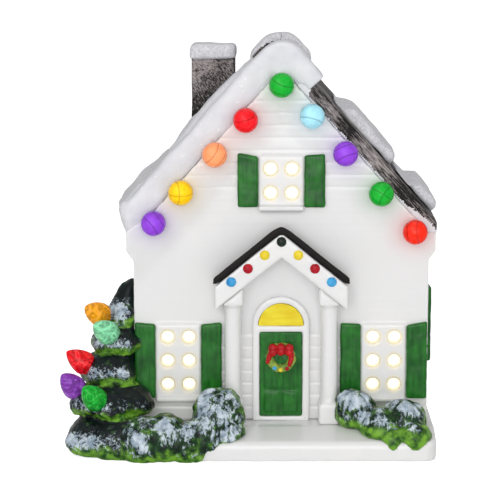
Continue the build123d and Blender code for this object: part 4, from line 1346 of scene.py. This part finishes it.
def finish_light_unit():
    abs_plastic = moulded("textured_abs", "#E6E5E0", 0.7, 0.45, 0.04)
    steel = moulded("nickel_plated_steel", "#C4C3C0", 0.5, 0.28, 0.02, 1.0)
    nylon = moulded("black_nylon", "#232325", 0.6, 0.40, 0.03)
    finishes = {
        "window_films": lit_frosted_acrylic(),
        "base_plate": abs_plastic,
        "battery_door": abs_plastic,
        "silicone_seal": moulded("smoothed_silicone", "#DADDDC", 2.5, 0.35, 0.08),
        "hinge_pin": steel,
        "battery_contacts": steel,
        "board_screws": steel,
        "battery_cells": moulded("shrunk_cell_wrap", "#2C2D33", 1.5, 0.22, 0.03),
        "light_board": moulded("solder_masked_laminate", "#1C5A34", 1.2, 0.35, 0.03),
        "leds": moulded("cast_lamp_epoxy", "#F3E6C6", 1.0, 0.12, 0.01),
        "switch_body": nylon,
        "switch_knob": nylon,
        "lead_battery": moulded("black_pvc_lead", "#1D1D1E", 0.8, 0.35, 0.03),
        "lead_switch": moulded("red_pvc_lead", "#A81A1C", 0.8, 0.35, 0.03),
    }
    finishes["lead_feed"] = finishes["lead_switch"]
    for node, material in finishes.items():
        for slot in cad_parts[node].material_slots:
            slot.material = material


finish_light_unit()


# Stage, light and camera


def make_stage():
    """A white floor that keeps the object's shadow."""
    material, tree, surface = start_material("white_floor")[:3]
    path = add(tree, "ShaderNodeLightPath")
    seen = add(tree, "ShaderNodeMath", {0: path.outputs["Is Camera Ray"], 1: 0.72}, operation="MULTIPLY")
    feed(tree, surface, {"Emission Strength": seen.outputs[0]})
    feed(tree, surface, {"Base Color": linear("#F4F4F4"), "Roughness": 0.9})
    feed(tree, surface, {"Emission Color": (1.0, 1.0, 1.0, 1.0)})
    ground = bmesh.new()
    bmesh.ops.create_grid(ground, x_segments=1, y_segments=1, size=20.0)
    mesh = bpy.data.meshes.new("floor")
    ground.to_mesh(mesh)
    ground.free()
    mesh.materials.append(material)
    floor = bpy.data.objects.new("floor", mesh)
    bpy.context.scene.collection.objects.link(floor)


def make_world():
    """An even white room: plain ambient light, and pure white where it is seen."""
    world = bpy.data.worlds.new("white_room")
    world.use_nodes = True
    tree = world.node_tree
    path = add(tree, "ShaderNodeLightPath")
    seen = add(
        tree, "ShaderNodeMath", {0: path.outputs["Is Camera Ray"], 1: path.outputs["Is Transmission Ray"]},
        operation="MAXIMUM",
    )
    strength = add(tree, "ShaderNodeMapRange", {"Value": seen.outputs[0], "To Min": 0.50, "To Max": 1.0})
    backdrop = tree.nodes["Background"]
    backdrop.inputs["Color"].default_value = (1.0, 1.0, 1.0, 1.0)
    tree.links.new(strength.outputs["Result"], backdrop.inputs["Strength"])
    bpy.context.scene.world = world


def make_lamp(name, place, target, size, power):
    """A soft square lamp that faces its target, in metres and watts."""
    data = bpy.data.lights.new(name, "AREA")
    data.size = size
    data.energy = power
    lamp = bpy.data.objects.new(name, data)
    bpy.context.scene.collection.objects.link(lamp)
    lamp.location = place
    lamp.rotation_euler = (Vector(target) - Vector(place)).to_track_quat("-Z", "Y").to_euler()


def make_camera():
    """The photograph's view: a little above, square to the front wall."""
    data = bpy.data.cameras.new("camera")
    data.lens = camera_lens
    data.sensor_width = 36.0
    camera = bpy.data.objects.new("camera", data)
    bpy.context.scene.collection.objects.link(camera)
    rise = radians(camera_rise)
    turn = radians(camera_turn)
    back = Vector((sin(turn) * cos(rise), -cos(turn) * cos(rise), sin(rise)))
    camera.location = (Vector(camera_target) + back * camera_distance) * MM
    camera.rotation_euler = back.to_track_quat("Z", "Y").to_euler()
    bpy.context.scene.camera = camera


make_stage()
make_world()
make_lamp("key", (-0.45, -0.75, 0.75), (0.0, 0.0, 0.08), 0.6, 1.5)
make_lamp("fill", (0.70, -0.65, 0.45), (0.0, 0.0, 0.08), 0.6, 0.7)
make_lamp("top", (0.05, 0.15, 0.95), (0.0, 0.0, 0.10), 0.6, 0.8)
make_lamp("front", (-0.10, -1.20, 0.22), (0.0, 0.0, 0.09), 0.9, 6.6)
make_camera()
bpy.context.scene.view_settings.view_transform = "Standard"
